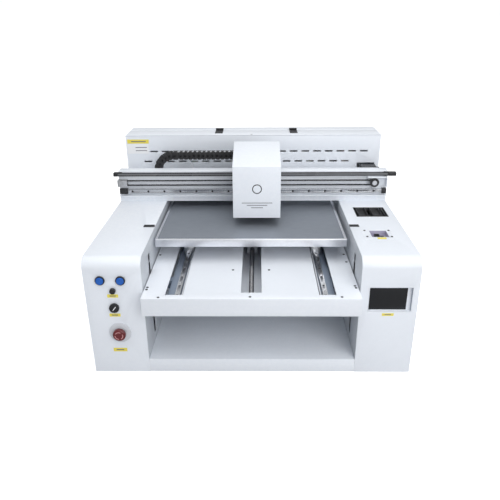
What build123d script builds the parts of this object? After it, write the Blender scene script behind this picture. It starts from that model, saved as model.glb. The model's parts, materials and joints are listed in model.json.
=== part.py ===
from build123d import *
import os

# Flatbed UV printer: two side pods, a lifting bed between them, a print table that slides on the
# bed, and a carriage that runs across on a gantry beam. Millimetres, +Z up, X across, Y to the back.
# Depths are measured from the pods' front face; save() moves them so that the origin is the centre
# of the underside.

# ---- driving dimensions ----
BODY_W = 1000.0
BODY_D = 840.0
POD_TOP = 396.0
POD_W = 175.0
SHEET = 2.0
NOSE_R = 33.0
FLOOR_TOP = 47.0

BEAM_FRONT = 526.0
BEAM_D = 76.0
BEAM_TOP = 511.0
BEAM_RIDGE_BACK = 572.0
BEAM_SLOPE_Z = 498.0
RAIL_Z = 437.5
BELT_Z = 471.0
STRIP_Z = 503.0
IDLER_X = -485.0
DRIVE_X = 450.0

HOUSING_FRONT = 690.0
HOUSING_TOP = 610.0
LID_BACK = 781.5
HINGE_Y = 783.0
HINGE_Z = 614.5
HINGE_R = 4.3
HINGE_XS = (-135.0, 162.0)

CARRIAGE_X = 16.0
CARRIAGE_W = 162.0
CARRIAGE_FRONT = 325.0
CARRIAGE_BACK = 500.0
CARRIAGE_BOTTOM = 402.0
CARRIAGE_CREASE = 582.0
CARRIAGE_TOP = 628.0

DECK_HALF = 322.0
DECK_FRONT = -52.0
DECK_BACK = 740.0
DECK_TOP = 293.0
DECK_BOTTOM = 235.0
Y_RAIL_X = 222.0
SCREW_Z = 279.0

TABLE_X = -3.5
TABLE_HALF = 314.0
TABLE_FRONT = 206.0
TABLE_D = 420.0
TABLE_TOP = 372.0
TABLE_T = 27.0

LIFT_X = 360.0
LIFT_Y = 128.0
GUIDE_Y = 620.0

CHAIN_Y0 = 608.0
CHAIN_Y1 = 633.0
CHAIN_H = 31.0
CHAIN_INNER_R = 44.0
CHAIN_TOP = 564.0
CHAIN_BEND_X = -305.0

VENT_PITCH = 46.0
BUTTON_XS = (-449.0, -388.0)
BUTTON_Z = 327.0
KNOB = (-414.0, 293.0)
SELECTOR = (-415.0, 235.0)
ESTOP = (-406.0, 147.0)
DISPLAY = (351.0, 482.0, 219.0, 303.5)
STATION = (365.0, 476.0, 352.0, 450.0)
PORT = (380.0, 438.0, 163.0, 219.0)
PARKING = 411.0

HALF_W = BODY_W / 2
BAY_HALF = HALF_W - POD_W
BEAM_BACK = BEAM_FRONT + BEAM_D
TABLE_BACK = TABLE_FRONT + TABLE_D
CHAIN_OUTER_R = CHAIN_INNER_R + CHAIN_H
CHAIN_Z = CHAIN_TOP - CHAIN_OUTER_R
SIDES = (-1, 1)


# ---- helpers ----
def box(x0, x1, y0, y1, z0, z1):
    centre = Pos((x0 + x1) / 2, (y0 + y1) / 2, (z0 + z1) / 2)
    return centre * Box(x1 - x0, y1 - y0, z1 - z0)


def side_box(side, x0, x1, y0, y1, z0, z1):
    """A box given for the right-hand side, mirrored where side is -1."""
    return box(min(side * x0, side * x1), max(side * x0, side * x1), y0, y1, z0, z1)


def rod_x(x0, x1, y, z, r):
    return Pos((x0 + x1) / 2, y, z) * Rot(0, 90, 0) * Cylinder(r, x1 - x0)


def rod_y(x, y0, y1, z, r):
    return Pos(x, (y0 + y1) / 2, z) * Rot(90, 0, 0) * Cylinder(r, y1 - y0)


def rod_z(x, y, z0, z1, r):
    return Pos(x, y, (z0 + z1) / 2) * Cylinder(r, z1 - z0)


def tube_box(x0, x1, y0, y1, z0, z1, wall, along):
    """A square tube: open at both ends along the named axis."""
    cut = [wall, wall, wall]
    cut["XYZ".index(along)] = -1.0
    hole = box(x0 + cut[0], x1 - cut[0], y0 + cut[1], y1 - cut[1], z0 + cut[2], z1 - cut[2])
    return box(x0, x1, y0, y1, z0, z1) - hole


def side_profile(points, x0, x1):
    """A closed outline of (y, z) points, extruded across from x0 to x1."""
    face = Plane.YZ * make_face(Polyline([*points, points[0]]))
    return Pos(x0, 0, 0) * extrude(face, x1 - x0)


def save(name, *shapes):
    solids = [solid for shape in shapes for solid in shape.solids()]
    group = Compound(children=solids)
    export_step(Pos(0, -BODY_D / 2, 0) * group, f"parts/{name}.step")


# ---- base and frame ----
def base_pan():
    """The bottom tray and the back panel folded up from it, with the power inlet's cut-out."""
    half = HALF_W - SHEET
    plate = box(-half, half, SHEET, BODY_D - SHEET, 0, SHEET)
    lip = box(-half, half, SHEET, BODY_D - SHEET, SHEET, 14)
    inside = box(-half + SHEET, half - SHEET, 2 * SHEET, BODY_D - 2 * SHEET, SHEET, 14)
    back = box(-HALF_W, HALF_W, BODY_D - SHEET, BODY_D, 0, POD_TOP)
    inlet = box(396.5, 443.5, BODY_D - 5, BODY_D + 5, 76.5, 103.5)
    return plate + (lip - inside) + (back - inlet)


def welded_frame():
    wall = 3
    z0 = SHEET
    z1 = 32
    frame = tube_box(-490, 490, 10, 40, z0, z1, wall, "X")
    frame += tube_box(-490, 490, 800, 830, z0, z1, wall, "X")
    for side in SIDES:
        for x in (385, 460):
            low, high = sorted((side * x, side * (x + 30)))
            frame += tube_box(low, high, 40, 800, z0, z1, wall, "Y")
        foot = side_box(side, 385, 490, 536, 596, z1, z1 + 6)
        low, high = sorted((side * 400, side * 470))
        frame += foot + tube_box(low, high, 540, 592, z1 + 6, POD_TOP - SHEET - 8, 4, "Z")
        frame += side_box(side, 395, 475, 536, 596, POD_TOP - SHEET - 8, POD_TOP - SHEET)
    return frame


def bay_floor():
    sill = box(-BAY_HALF, BAY_HALF, 0, SHEET, SHEET, FLOOR_TOP)
    floor = box(-BAY_HALF, BAY_HALF, SHEET, BODY_D - SHEET, FLOOR_TOP - SHEET, FLOOR_TOP)
    return sill + floor


def inner_wall(side):
    """The bay's side wall, with an upright slot for each lift bracket."""
    x0 = BAY_HALF
    x1 = BAY_HALF + SHEET
    outline = extrude(pod_outline(SHEET, BODY_D - SHEET, 32), SHEET)
    wall = Pos(x0 if side > 0 else -x1, 0, 0) * outline
    for y in (LIFT_Y, GUIDE_Y):
        wall -= side_box(side, x0 - 1, x1 + 1, y - 13, y + 13, 70, 356)
    return wall


def pod_outline(inset, y_back, z_low):
    """The pod seen from the side: an upright front, a round nose and a flat top."""
    low = (inset, z_low)
    nose_low = (inset, POD_TOP - NOSE_R)
    nose_top = (NOSE_R, POD_TOP - inset)
    middle = NOSE_R - (NOSE_R - inset) * 0.70710678
    nose_mid = (middle, POD_TOP - middle)
    back = (y_back, POD_TOP - inset)
    back_low = (y_back, z_low)
    with BuildSketch(Plane.YZ) as sketch:
        with BuildLine():
            Line(low, nose_low)
            ThreePointArc(nose_low, nose_mid, nose_top)
            Polyline(nose_top, back, back_low, low)
        make_face()
    return sketch.sketch


def pod_cover(side):
    """One bent and welded sheet: front, nose, top and outer side."""
    outer = Pos(BAY_HALF, 0, 0) * extrude(pod_outline(0, BODY_D - SHEET, 0), POD_W)
    hollow = extrude(pod_outline(SHEET, BODY_D, -5), POD_W + 3)
    cover = outer - Pos(BAY_HALF - 5, 0, 0) * hollow
    if side < 0:
        cover = mirror(cover, Plane.YZ)
    top = (POD_TOP - 5, POD_TOP + 5)
    sensor = side_box(side, BAY_HALF - 1, BAY_HALF + 27, 257, 273, *top)
    return cover - sensor


# ---- gantry ----
def gantry_beam():
    """A closed folded beam, its top sloped down at the back, with a ledge under the rail."""
    half = HALF_W
    outer = [
        (BEAM_FRONT, POD_TOP),
        (BEAM_FRONT, BEAM_TOP),
        (BEAM_RIDGE_BACK, BEAM_TOP),
        (BEAM_BACK, BEAM_SLOPE_Z),
        (BEAM_BACK, POD_TOP),
    ]
    inner = [
        (BEAM_FRONT + 4, POD_TOP + 4),
        (BEAM_FRONT + 4, BEAM_TOP - 4),
        (BEAM_RIDGE_BACK - 1, BEAM_TOP - 4),
        (BEAM_BACK - 4, BEAM_SLOPE_Z - 2.5),
        (BEAM_BACK - 4, POD_TOP + 4),
    ]
    beam = side_profile(outer, -half, half) - side_profile(inner, 3 - half, half - 3)
    ledge = box(-half, half, BEAM_FRONT - 10, BEAM_FRONT, 416.5, 420.5)
    shaft_hole = rod_y(DRIVE_X, BEAM_FRONT - 5, BEAM_BACK + 5, BELT_Z, 8)
    return beam + ledge - shaft_hole


def x_rail():
    z0 = RAIL_Z - 7.5
    z1 = RAIL_Z + 7.5
    y0 = BEAM_FRONT - 12
    rail = box(-467, 480, y0, BEAM_FRONT, z0, z1)
    for i in range(-7, 9):
        rail -= rod_y(60 * i - 30, y0 - 1, y0 + 5, RAIL_Z, 4)
    ends = ((-497, -467.5), (480.5, 497))
    stops = [box(*end, y0 - 2, BEAM_FRONT, z0 - 2, z1 + 2) for end in ends]
    return [rail, *stops]


def encoder_strip():
    return box(-498, 498, 513, 513.8, STRIP_Z - 7, STRIP_Z + 7)


def encoder_strip_holders():
    holders = []
    for side, reach in ((-1, 514), (1, 527)):
        z = (STRIP_Z - 6.5, STRIP_Z + 6.5)
        arm = side_box(side, 484, reach, 519, BEAM_FRONT, *z)
        holders.append(arm + side_box(side, 498, reach, 508, 519, *z))
    return holders


def belt_loop(r):
    """The solid between the idler and the drive pulley with rounded ends of radius r."""
    y0 = 508
    y1 = 518
    loop = box(IDLER_X, DRIVE_X, y0, y1, BELT_Z - r, BELT_Z + r)
    return loop + rod_y(IDLER_X, y0, y1, BELT_Z, r) + rod_y(DRIVE_X, y0, y1, BELT_Z, r)


def x_belt():
    return belt_loop(10) - belt_loop(8)


def drive_pulley():
    """The toothed pulley, its two flanges and the motor shaft it is pinned to."""
    pulley = rod_y(DRIVE_X, 507.7, 518.3, BELT_Z, 7.9)
    pulley += rod_y(DRIVE_X, 505.5, 507.7, BELT_Z, 16.5)
    pulley += rod_y(DRIVE_X, 518.3, 520.3, BELT_Z, 13)
    return pulley + rod_y(DRIVE_X, 502, 640, BELT_Z, 4)


def drive_end_plate():
    """A shallow pan on the beam behind the drive pulley, rounded at its outer top corner."""
    block = box(424, 497, 506, BEAM_FRONT, 455, 492)
    upright_edges = block.edges().filter_by(Axis.Y)
    block = fillet(upright_edges.sort_by_distance((497, 516, 492))[0], 8)
    return block - box(420, 494, 500, 522, 440, 489) - rod_y(DRIVE_X, 510, 530, BELT_Z, 8)


def x_motor():
    half = 28.5
    y0 = BEAM_BACK
    plate = box(DRIVE_X - 34, DRIVE_X + 34, y0, y0 + 4, BELT_Z - 34, BELT_Z + 34)
    can = box(DRIVE_X - half, DRIVE_X + half, y0 + 4, y0 + 60, BELT_Z - half, BELT_Z + half)
    return plate + can - rod_y(DRIVE_X, y0 - 5, 641, BELT_Z, 4.05)


def idler_bracket():
    """A forked bracket with the idler's axle across it."""
    z = (BELT_Z - 12, BELT_Z + 12)
    back = box(IDLER_X - 13, IDLER_X + 20, 521, BEAM_FRONT, *z)
    front = box(IDLER_X - 13, IDLER_X + 20, 502, 505, *z)
    web = box(IDLER_X - 15, IDLER_X - 13, 502, BEAM_FRONT, *z)
    return back + front + web + rod_y(IDLER_X, 505, 521, BELT_Z, 3)


def idler_pulley():
    pulley = rod_y(IDLER_X, 505.5, 520.5, BELT_Z, 7.9)
    return pulley - rod_y(IDLER_X, 505, 521, BELT_Z, 3.05)


# ---- cable chain behind the beam ----
def chain_tray():
    z1 = CHAIN_TOP - 2 * CHAIN_OUTER_R - 0.3
    tray = box(-498, 82, BEAM_BACK, 640, z1 - 2, z1)
    for y in (BEAM_BACK, 638):
        tray += box(-498, 82, y, y + SHEET, POD_TOP, z1 - 2)
    return tray


def chain_bend():
    ring = rod_y(CHAIN_BEND_X, CHAIN_Y0, CHAIN_Y1, CHAIN_Z, CHAIN_OUTER_R)
    ring -= rod_y(CHAIN_BEND_X, CHAIN_Y0 - 1, CHAIN_Y1 + 1, CHAIN_Z, CHAIN_INNER_R)
    far = CHAIN_BEND_X + CHAIN_OUTER_R + 5
    return ring - box(CHAIN_BEND_X, far, CHAIN_Y0 - 1, CHAIN_Y1 + 1, 400, 600)


def chain_run(x0, x1, z_top):
    return box(x0, x1, CHAIN_Y0, CHAIN_Y1, z_top - CHAIN_H, z_top)


def chain_bracket():
    """The arm that carries the chain's moving end, over the beam and down to the carriage."""
    x0 = CARRIAGE_X - 60
    x1 = CARRIAGE_X + 40
    arm = box(x0, x1, CARRIAGE_BACK + 1, 637, 566, 570)
    upright = box(x0, x1, CARRIAGE_BACK - 2, CARRIAGE_BACK + 1, 540, 570)
    back = box(x0, x1, 634, 637, 529, 566)
    return arm + upright + back


# ---- carriage ----
def carriage_cover():
    """A folded hood, open at the back and underneath."""
    x0 = CARRIAGE_X - CARRIAGE_W / 2
    x1 = CARRIAGE_X + CARRIAGE_W / 2
    low = CARRIAGE_BOTTOM
    front = CARRIAGE_FRONT
    back = CARRIAGE_BACK
    outline = [(front, low), (front, CARRIAGE_CREASE), (back, CARRIAGE_TOP), (back, low)]
    inner = [
        (front + SHEET, low - 5),
        (front + SHEET, CARRIAGE_CREASE - SHEET),
        (back + 5, CARRIAGE_TOP - SHEET + 1),
        (back + 5, low - 5),
    ]
    return side_profile(outline, x0, x1) - side_profile(inner, x0 + SHEET, x1 - SHEET)


def head_positions():
    return [CARRIAGE_X - 37, CARRIAGE_X + 13]


def carriage_plate():
    """The upright plate bolted to the rail blocks, and the head plate folded from its foot."""
    x0 = CARRIAGE_X - 74
    x1 = CARRIAGE_X + 74
    upright = box(x0, x1, 490, 498, 420, 590)
    shelf = box(x0, x1, 336, 498, 412, 420)
    plate = upright + shelf
    for x in head_positions():
        plate -= box(x - 17.5, x + 17.5, 371.5, 442.5, 400, 430)
    return plate - box(CARRIAGE_X + 39.5, CARRIAGE_X + 68.5, 359.5, 450.5, 400, 430)


def print_heads():
    heads = []
    for x in head_positions():
        body = box(x - 17, x + 17, 372, 442, 399, 462)
        collar = box(x - 22, x + 22, 366, 448, 420, 424)
        heads.append(body + collar)
    return heads


def uv_lamp():
    x0 = CARRIAGE_X + 40
    x1 = CARRIAGE_X + 68
    return box(x0, x1, 360, 450, 404, 480) + box(x0, x1 + 4, 354, 456, 420, 424)


def x_rail_blocks():
    """Two blocks that wrap the rail."""
    blocks = []
    z0 = RAIL_Z - 15.5
    z1 = RAIL_Z + 15.5
    for x in (CARRIAGE_X - 26, CARRIAGE_X + 26):
        block = box(x - 24, x + 24, 498, 522, z0, z1)
        groove = box(x - 25, x + 25, 513.7, 523, RAIL_Z - 7.8, RAIL_Z + 7.8)
        blocks.append(block - groove)
    return blocks


def belt_clamp():
    x0 = CARRIAGE_X - 57
    x1 = CARRIAGE_X - 13
    clamp = box(x0, x1, 498, 520, BELT_Z + 2, BELT_Z + 18)
    return clamp - box(x0 - 1, x1 + 1, 507.7, 521, BELT_Z + 7.7, BELT_Z + 10.3)


# ---- lifting bed ----
def deck_slots():
    """(x0, x1, y0, y1) of the long openings over the two rails and the screw."""
    back = DECK_BACK - 40
    return [(-254, -201, -26, back), (200, 250, -26, back), (-31, 31, -12, back)]


def deck_tray():
    """The bed's white top sheet, folded down at the front and both sides."""
    tray = box(-DECK_HALF, DECK_HALF, DECK_FRONT, DECK_BACK, DECK_BOTTOM, DECK_TOP)
    half = DECK_HALF - SHEET
    tray -= box(-half, half, DECK_FRONT + SHEET, DECK_BACK + 5, DECK_BOTTOM - 5, DECK_TOP - SHEET)
    for x0, x1, y0, y1 in deck_slots():
        tray -= box(x0, x1, y0, y1, DECK_TOP - 5, DECK_TOP + 5)
    for side in SIDES:
        for y in (LIFT_Y, GUIDE_Y):
            tray -= side_box(side, half - 1, DECK_HALF + 1, y - 5, y + 5, DECK_BOTTOM - 1, 268.3)
    return tray


def deck_bottom():
    """The flat sheet that closes the bed underneath."""
    half = DECK_HALF - SHEET - 0.5
    return box(-half, half, DECK_FRONT + 3, DECK_BACK - 5, 238, 240)


def deck_frame():
    """The welded bearers under the deck, with an arm out to each lift nut and guide."""
    z0 = 240
    z1 = 268
    half = DECK_HALF - SHEET - 0.5
    ends = (DECK_FRONT + 3, DECK_BACK - 35)
    frame = tube_box(-half, half, ends[0], ends[0] + 30, z0, z1, 3, "X")
    frame += tube_box(-half, half, ends[1], ends[1] + 30, z0, z1, 3, "X")
    for side in SIDES:
        low, high = sorted((side * 212, side * 254))
        frame += tube_box(low, high, ends[0] + 27, ends[1] + 3, z0, z1, 3, "Y")
        frame += side_box(side, 205, 210.5, ends[0] + 27, ends[1] + 3, z0, z1)
        for y in (LIFT_Y, GUIDE_Y):
            frame += side_box(side, 254, half, y - 14, y + 14, z0, z1)
            frame += side_box(side, half, LIFT_X - 16, y - 4, y + 4, z0, z1)
            boss = side_box(side, LIFT_X - 17, LIFT_X + 17, y - 17, y + 17, z0, z1)
            frame += boss - rod_z(side * LIFT_X, y, z0 - 1, z1 + 1, 8.05)
    for y in ends:
        frame += box(-24, 24, y, y + 30, z1, DECK_TOP - SHEET - 0.5)
    return frame - rod_y(0, ends[0] - 1, DECK_BACK, SCREW_Z, 8.05)


def y_rails():
    y0 = DECK_FRONT + 17
    y1 = DECK_BACK - 38
    rails = []
    for side in SIDES:
        rail = side_box(side, Y_RAIL_X - 7.5, Y_RAIL_X + 7.5, y0, y1, 268, 280)
        for i in range(12):
            rail -= rod_z(side * Y_RAIL_X, y0 + 33 + 60 * i, 275, 281, 4)
        rails.append(rail)
    return rails


def y_screw():
    return rod_y(0, DECK_FRONT + 7, DECK_BACK + 20, SCREW_Z, 8)


def y_motor():
    plate = box(-34, 34, DECK_BACK + 2, DECK_BACK + 6, 245, 290)
    brace = box(-24, 24, DECK_BACK - 5, DECK_BACK + 2, 268, 290)
    can = box(-28.5, 28.5, DECK_BACK + 6, DECK_BACK + 62, SCREW_Z - 28.5, SCREW_Z + 28.5)
    return plate + brace + can - rod_y(0, DECK_BACK - 10, DECK_BACK + 25, SCREW_Z, 8.05)


def table_block_ys():
    return (TABLE_FRONT + 112, TABLE_FRONT + 229)


def y_rail_blocks():
    blocks = []
    for side in SIDES:
        for y in table_block_ys():
            block = side_box(side, Y_RAIL_X - 17, Y_RAIL_X + 17, y, y + 60, 270, 296)
            groove = side_box(side, Y_RAIL_X - 7.8, Y_RAIL_X + 7.8, y - 1, y + 61, 267, 280.3)
            blocks.append(block - groove)
    return blocks


def table_carrier():
    """The cross plate on the rail blocks, its two raised bearers and the nut on the screw."""
    y0 = TABLE_FRONT + 114
    low = TABLE_TOP - TABLE_T
    plate = box(-245, 245, y0, TABLE_FRONT + 320, 296, 302)
    for side in SIDES:
        x0, x1 = sorted((side * 87, side * 184))
        plate += tube_box(x0, x1, y0, TABLE_BACK - 24, 302, low, 3, "Y")
    nut = box(-18, 18, y0 + 16, y0 + 60, 264, 296)
    return plate + nut - rod_y(0, y0, y0 + 80, SCREW_Z, 8.05)


def table_frame():
    """The silver edge around the table, with its closed underside."""
    low = TABLE_TOP - TABLE_T
    x0 = TABLE_X - TABLE_HALF
    x1 = TABLE_X + TABLE_HALF
    frame = box(x0, x1, TABLE_FRONT, TABLE_BACK, low, TABLE_TOP)
    return frame - box(x0 + 8, x1 - 8, TABLE_FRONT + 8, TABLE_BACK - 8, low + 3, TABLE_TOP + 5)


def table_top():
    x0 = TABLE_X - TABLE_HALF + 8.2
    x1 = TABLE_X + TABLE_HALF - 8.2
    y0 = TABLE_FRONT + 8.2
    y1 = TABLE_BACK - 8.2
    plate = box(x0, x1, y0, y1, TABLE_TOP - 10, TABLE_TOP)
    ribs = [box(x - 4, x + 4, y0, y1, TABLE_TOP - 24, TABLE_TOP - 10) for x in (-200, 0, 200)]
    return plate + ribs[0] + ribs[1] + ribs[2]


# ---- bed lift ----
def lift_screw(side):
    x = side * LIFT_X
    screw = rod_z(x, LIFT_Y, 44, 330, 8)
    return screw + rod_z(x, LIFT_Y, 330, 336, 6)


def lift_drive():
    """Each pod's foot bearing, guide rod with its two clamps, and the screw's motor."""
    solids = []
    for side in SIDES:
        x = side * LIFT_X
        foot = side_box(side, LIFT_X - 20, LIFT_X + 20, LIFT_Y - 20, LIFT_Y + 20, SHEET, 56)
        foot -= rod_z(x, LIFT_Y, 43.5, 57, 8.05)
        motor = side_box(side, LIFT_X - 28, LIFT_X + 28, LIFT_Y - 28, LIFT_Y + 28, 324, 380)
        motor += side_box(side, BAY_HALF + SHEET, LIFT_X - 28, LIFT_Y - 28, LIFT_Y + 28, 324, 330)
        motor -= rod_z(x, LIFT_Y, 320, 336.5, 8.05)
        guide = rod_z(x, GUIDE_Y, SHEET + 20, 380, 8)
        clamp = side_box(side, BAY_HALF + SHEET, LIFT_X + 14, GUIDE_Y - 14, GUIDE_Y + 14, 320, 340)
        base = side_box(side, LIFT_X - 20, LIFT_X + 20, GUIDE_Y - 20, GUIDE_Y + 20, SHEET, 22)
        solids += [foot, motor, guide + clamp + base]
    return solids


# ---- rear housing ----
def vent_slots():
    """(x, z) of each slot's centre in the two staggered rows."""
    upper = [(-391 + VENT_PITCH * i, 546) for i in range(19)]
    lower = [(-417.5 + VENT_PITCH * i, 506) for i in range(18)]
    return upper + lower


def rear_housing():
    """Front, sides, back and floor of the ink compartment, and the strip behind the lid."""
    z0 = POD_TOP
    z1 = HOUSING_TOP - 3
    shell = box(-HALF_W, HALF_W, HOUSING_FRONT, BODY_D, z0, z1)
    inside = box(-HALF_W + SHEET, HALF_W - SHEET, HOUSING_FRONT + SHEET, BODY_D - SHEET, z0 + SHEET, 700)
    shell -= inside
    strip = box(-HALF_W, HALF_W, LID_BACK + 2.5, BODY_D, z1, HOUSING_TOP)
    for x, z in vent_slots():
        shell -= box(x - 15, x + 15, HOUSING_FRONT - 1, HOUSING_FRONT + SHEET + 1, z - 3, z + 3)
    cable_exit = box(413, 482, HOUSING_FRONT - 1, HOUSING_FRONT + SHEET + 1, 479, 499)
    return shell + strip - cable_exit


def rear_lid():
    lip = box(-HALF_W + 3, HALF_W - 3, HOUSING_FRONT + 3, HOUSING_FRONT + 5, HOUSING_TOP - 14, HOUSING_TOP - 2)
    return box(-HALF_W, HALF_W, HOUSING_FRONT, LID_BACK, HOUSING_TOP - 2, HOUSING_TOP) + lip


def hinge_leaf(x, fixed):
    """One leaf with its knuckles: two outer ones and the pin if fixed, the middle one if not."""
    if fixed:
        leaf = box(x - 15, x + 15, HINGE_Y + 4.5, HINGE_Y + 28, HOUSING_TOP, HOUSING_TOP + 2)
        for x0 in (x - 15, x + 6):
            leaf += rod_x(x0, x0 + 9, HINGE_Y, HINGE_Z, HINGE_R)
            leaf += box(x0, x0 + 9, HINGE_Y, HINGE_Y + 6, HOUSING_TOP + 0.5, HOUSING_TOP + 2)
        return leaf + rod_x(x - 15, x + 15, HINGE_Y, HINGE_Z, 1.5)
    leaf = box(x - 15, x + 15, HINGE_Y - 60, HINGE_Y - 4.5, HOUSING_TOP, HOUSING_TOP + 2)
    leaf += rod_x(x - 5.6, x + 5.6, HINGE_Y, HINGE_Z, HINGE_R)
    leaf += box(x - 5.6, x + 5.6, HINGE_Y - 6, HINGE_Y, HOUSING_TOP + 0.5, HOUSING_TOP + 2)
    return leaf - rod_x(x - 6, x + 6, HINGE_Y, HINGE_Z, 1.55)


def power_inlet():
    """A flush three-pin appliance inlet with its flange on the back panel."""
    flange = box(391, 449, BODY_D, BODY_D + 3, 70, 110)
    body = box(397, 443, BODY_D - 30, BODY_D, 77, 103)
    socket = box(402, 438, BODY_D - 22, BODY_D + 4, 80, 100)
    inlet = flange + body - socket
    for x, z in ((412, 87), (420, 93), (428, 87)):
        inlet += box(x - 1, x + 1, BODY_D - 22, BODY_D - 4, z - 2, z + 2)
    return inlet


def ink_tanks():
    tanks = []
    for i in range(6):
        x = -375 + 150 * i
        tank = box(x - 32, x + 32, 712, 812, POD_TOP + SHEET, 540)
        tanks.append(tank + rod_z(x, 762, 540, 558, 20))
    return tanks


def control_board():
    """The board on the right pod's inner wall, with its chips and connectors in one piece."""
    board = box(336, 338, 300, 480, 120, 300)
    for y, z, size, height in ((350, 250, 30, 4), (420, 250, 36, 9), (350, 170, 44, 12), (430, 170, 24, 7)):
        board += box(338, 338 + height, y, y + size, z, z + size)
    for y in (306, 474):
        for z in (126, 294):
            board += rod_x(BAY_HALF + SHEET, 336, y, z, 4)
    return board


def power_supply():
    return box(-480, -400, 640, 790, 40, 250)


# ---- controls ----
def blue_button(x):
    button = rod_y(x, -9, -4.2, BUTTON_Z, 11.5) + rod_y(x, -4.2, 14, BUTTON_Z, 8)
    return fillet(button.edges().sort_by(Axis.Y)[0], 2)


def control_bodies():
    """The bezels on the front face and the switch bodies behind it, one for each control."""
    solids = []
    for x in BUTTON_XS:
        ring = rod_y(x, -5, 0, BUTTON_Z, 14.5) - rod_y(x, -6, 1, BUTTON_Z, 11.8)
        barrel = rod_y(x, 0, 40, BUTTON_Z, 10.8)
        solids.append(ring + barrel + rod_y(x, -0.8, 0, BUTTON_Z, 12) - rod_y(x, -6, 18.5, BUTTON_Z, 8.05))
    for (x, z), r, bore in ((KNOB, 5, 3.05), (SELECTOR, 10.8, 5.05), (ESTOP, 10.8, 7.05)):
        solids.append(rod_y(x, 0, 40, z, r) - rod_y(x, -1, 18.5, z, bore))
    x, z = ESTOP
    collar = rod_y(x, -3, 0, z, 34) - rod_y(x, -4, 1, z, 10.8)
    return [*solids, collar]


def knob(x, z, r, stem, depth):
    return fillet(rod_y(x, -depth, -0.5, z, r).edges().sort_by(Axis.Y)[0], 2) + rod_y(x, -0.5, 14, z, stem)


def selector_knob():
    x, z = SELECTOR
    dial = rod_y(x, -8, -0.5, z, 15)
    grip = box(x - 4, x + 4, -13, -8, z - 12, z + 12)
    return dial + grip + rod_y(x, -0.5, 14, z, 5)


def estop_stem():
    x, z = ESTOP
    return rod_y(x, -9.7, 12, z, 7) + rod_y(x, -17, -9.7, z, 4)


def estop_head():
    """The mushroom, which turns on the stem to let go."""
    x, z = ESTOP
    dome = fillet(rod_y(x, -22, -10, z, 20).edges().sort_by(Axis.Y)[0], 5)
    return dome - rod_y(x, -17.2, -9, z, 4.05)


def display_bezel():
    x0, x1, z0, z1 = DISPLAY
    frame = box(x0 + 0.3, x1 - 0.3, 0, 24, z0 + 0.3, z1 - 0.3)
    frame -= box(x0 + 1.5, x1 - 1.5, -1, 10, z0 + 1.5, z1 - 1.5)
    return frame - box(x0 + 4, x1 - 14, 9, 18, z0 + 4, z1 - 4)


def display_screen():
    x0, x1, z0, z1 = DISPLAY
    return box(x0 + 4.2, x1 - 14.2, 9, 17.8, z0 + 4.2, z1 - 4.2)


# ---- capping station and port panel on the right pod ----
def station_tray():
    x0, x1, y0, y1 = STATION
    tray = box(x0 + 0.5, x1 - 0.5, y0 + 0.5, y1 - 0.5, 350, POD_TOP)
    tray -= box(x0 + 2.5, x1 - 2.5, y0 + 2.5, y1 - 2.5, 352, POD_TOP + 5)
    wiper = box(463.5, 467.5, y0 + 12, y1 - 12, 352, POD_TOP + 1)
    return tray + wiper


def cap_block():
    """The sprung block that carries one cup for each print head."""
    x0, x1, y0, y1 = STATION
    block = box(x0 + 4.5, 460, y0 + 5, y1 - 5, 366, 384)
    for x in head_positions():
        x += PARKING
        cup = box(x - 17, x + 17, y0 + 6, y1 - 6, 384, POD_TOP + 1.5)
        block += cup - box(x - 14, x + 14, y0 + 9, y1 - 9, 388, POD_TOP + 5)
    return block


def port_panel():
    """A square recess with a flange fastened to the top sheet by four screws."""
    x0, x1, y0, y1 = PORT
    flange = box(356, 454, 146, 230, POD_TOP, POD_TOP + 1)
    cup = box(x0, x1, y0, y1, POD_TOP - 14, POD_TOP)
    return flange + cup - box(x0 + SHEET, x1 - SHEET, y0 + SHEET, y1 - SHEET, POD_TOP - 12, POD_TOP + 5)


def left_pod_cover():
    cover = pod_cover(-1)
    for x in BUTTON_XS:
        cover -= rod_y(x, -5, 10, BUTTON_Z, 11)
    for (x, z), r in ((KNOB, 5.2), (SELECTOR, 11), (ESTOP, 11)):
        cover -= rod_y(x, -5, 10, z, r)
    return cover


def right_pod_cover():
    x0, x1, z0, z1 = DISPLAY
    cover = pod_cover(1) - box(x0, x1, -5, 10, z0, z1)
    for x0, x1, y0, y1 in (STATION, PORT):
        cover -= box(x0, x1, y0, y1, POD_TOP - 5, POD_TOP + 5)
    return cover


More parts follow.
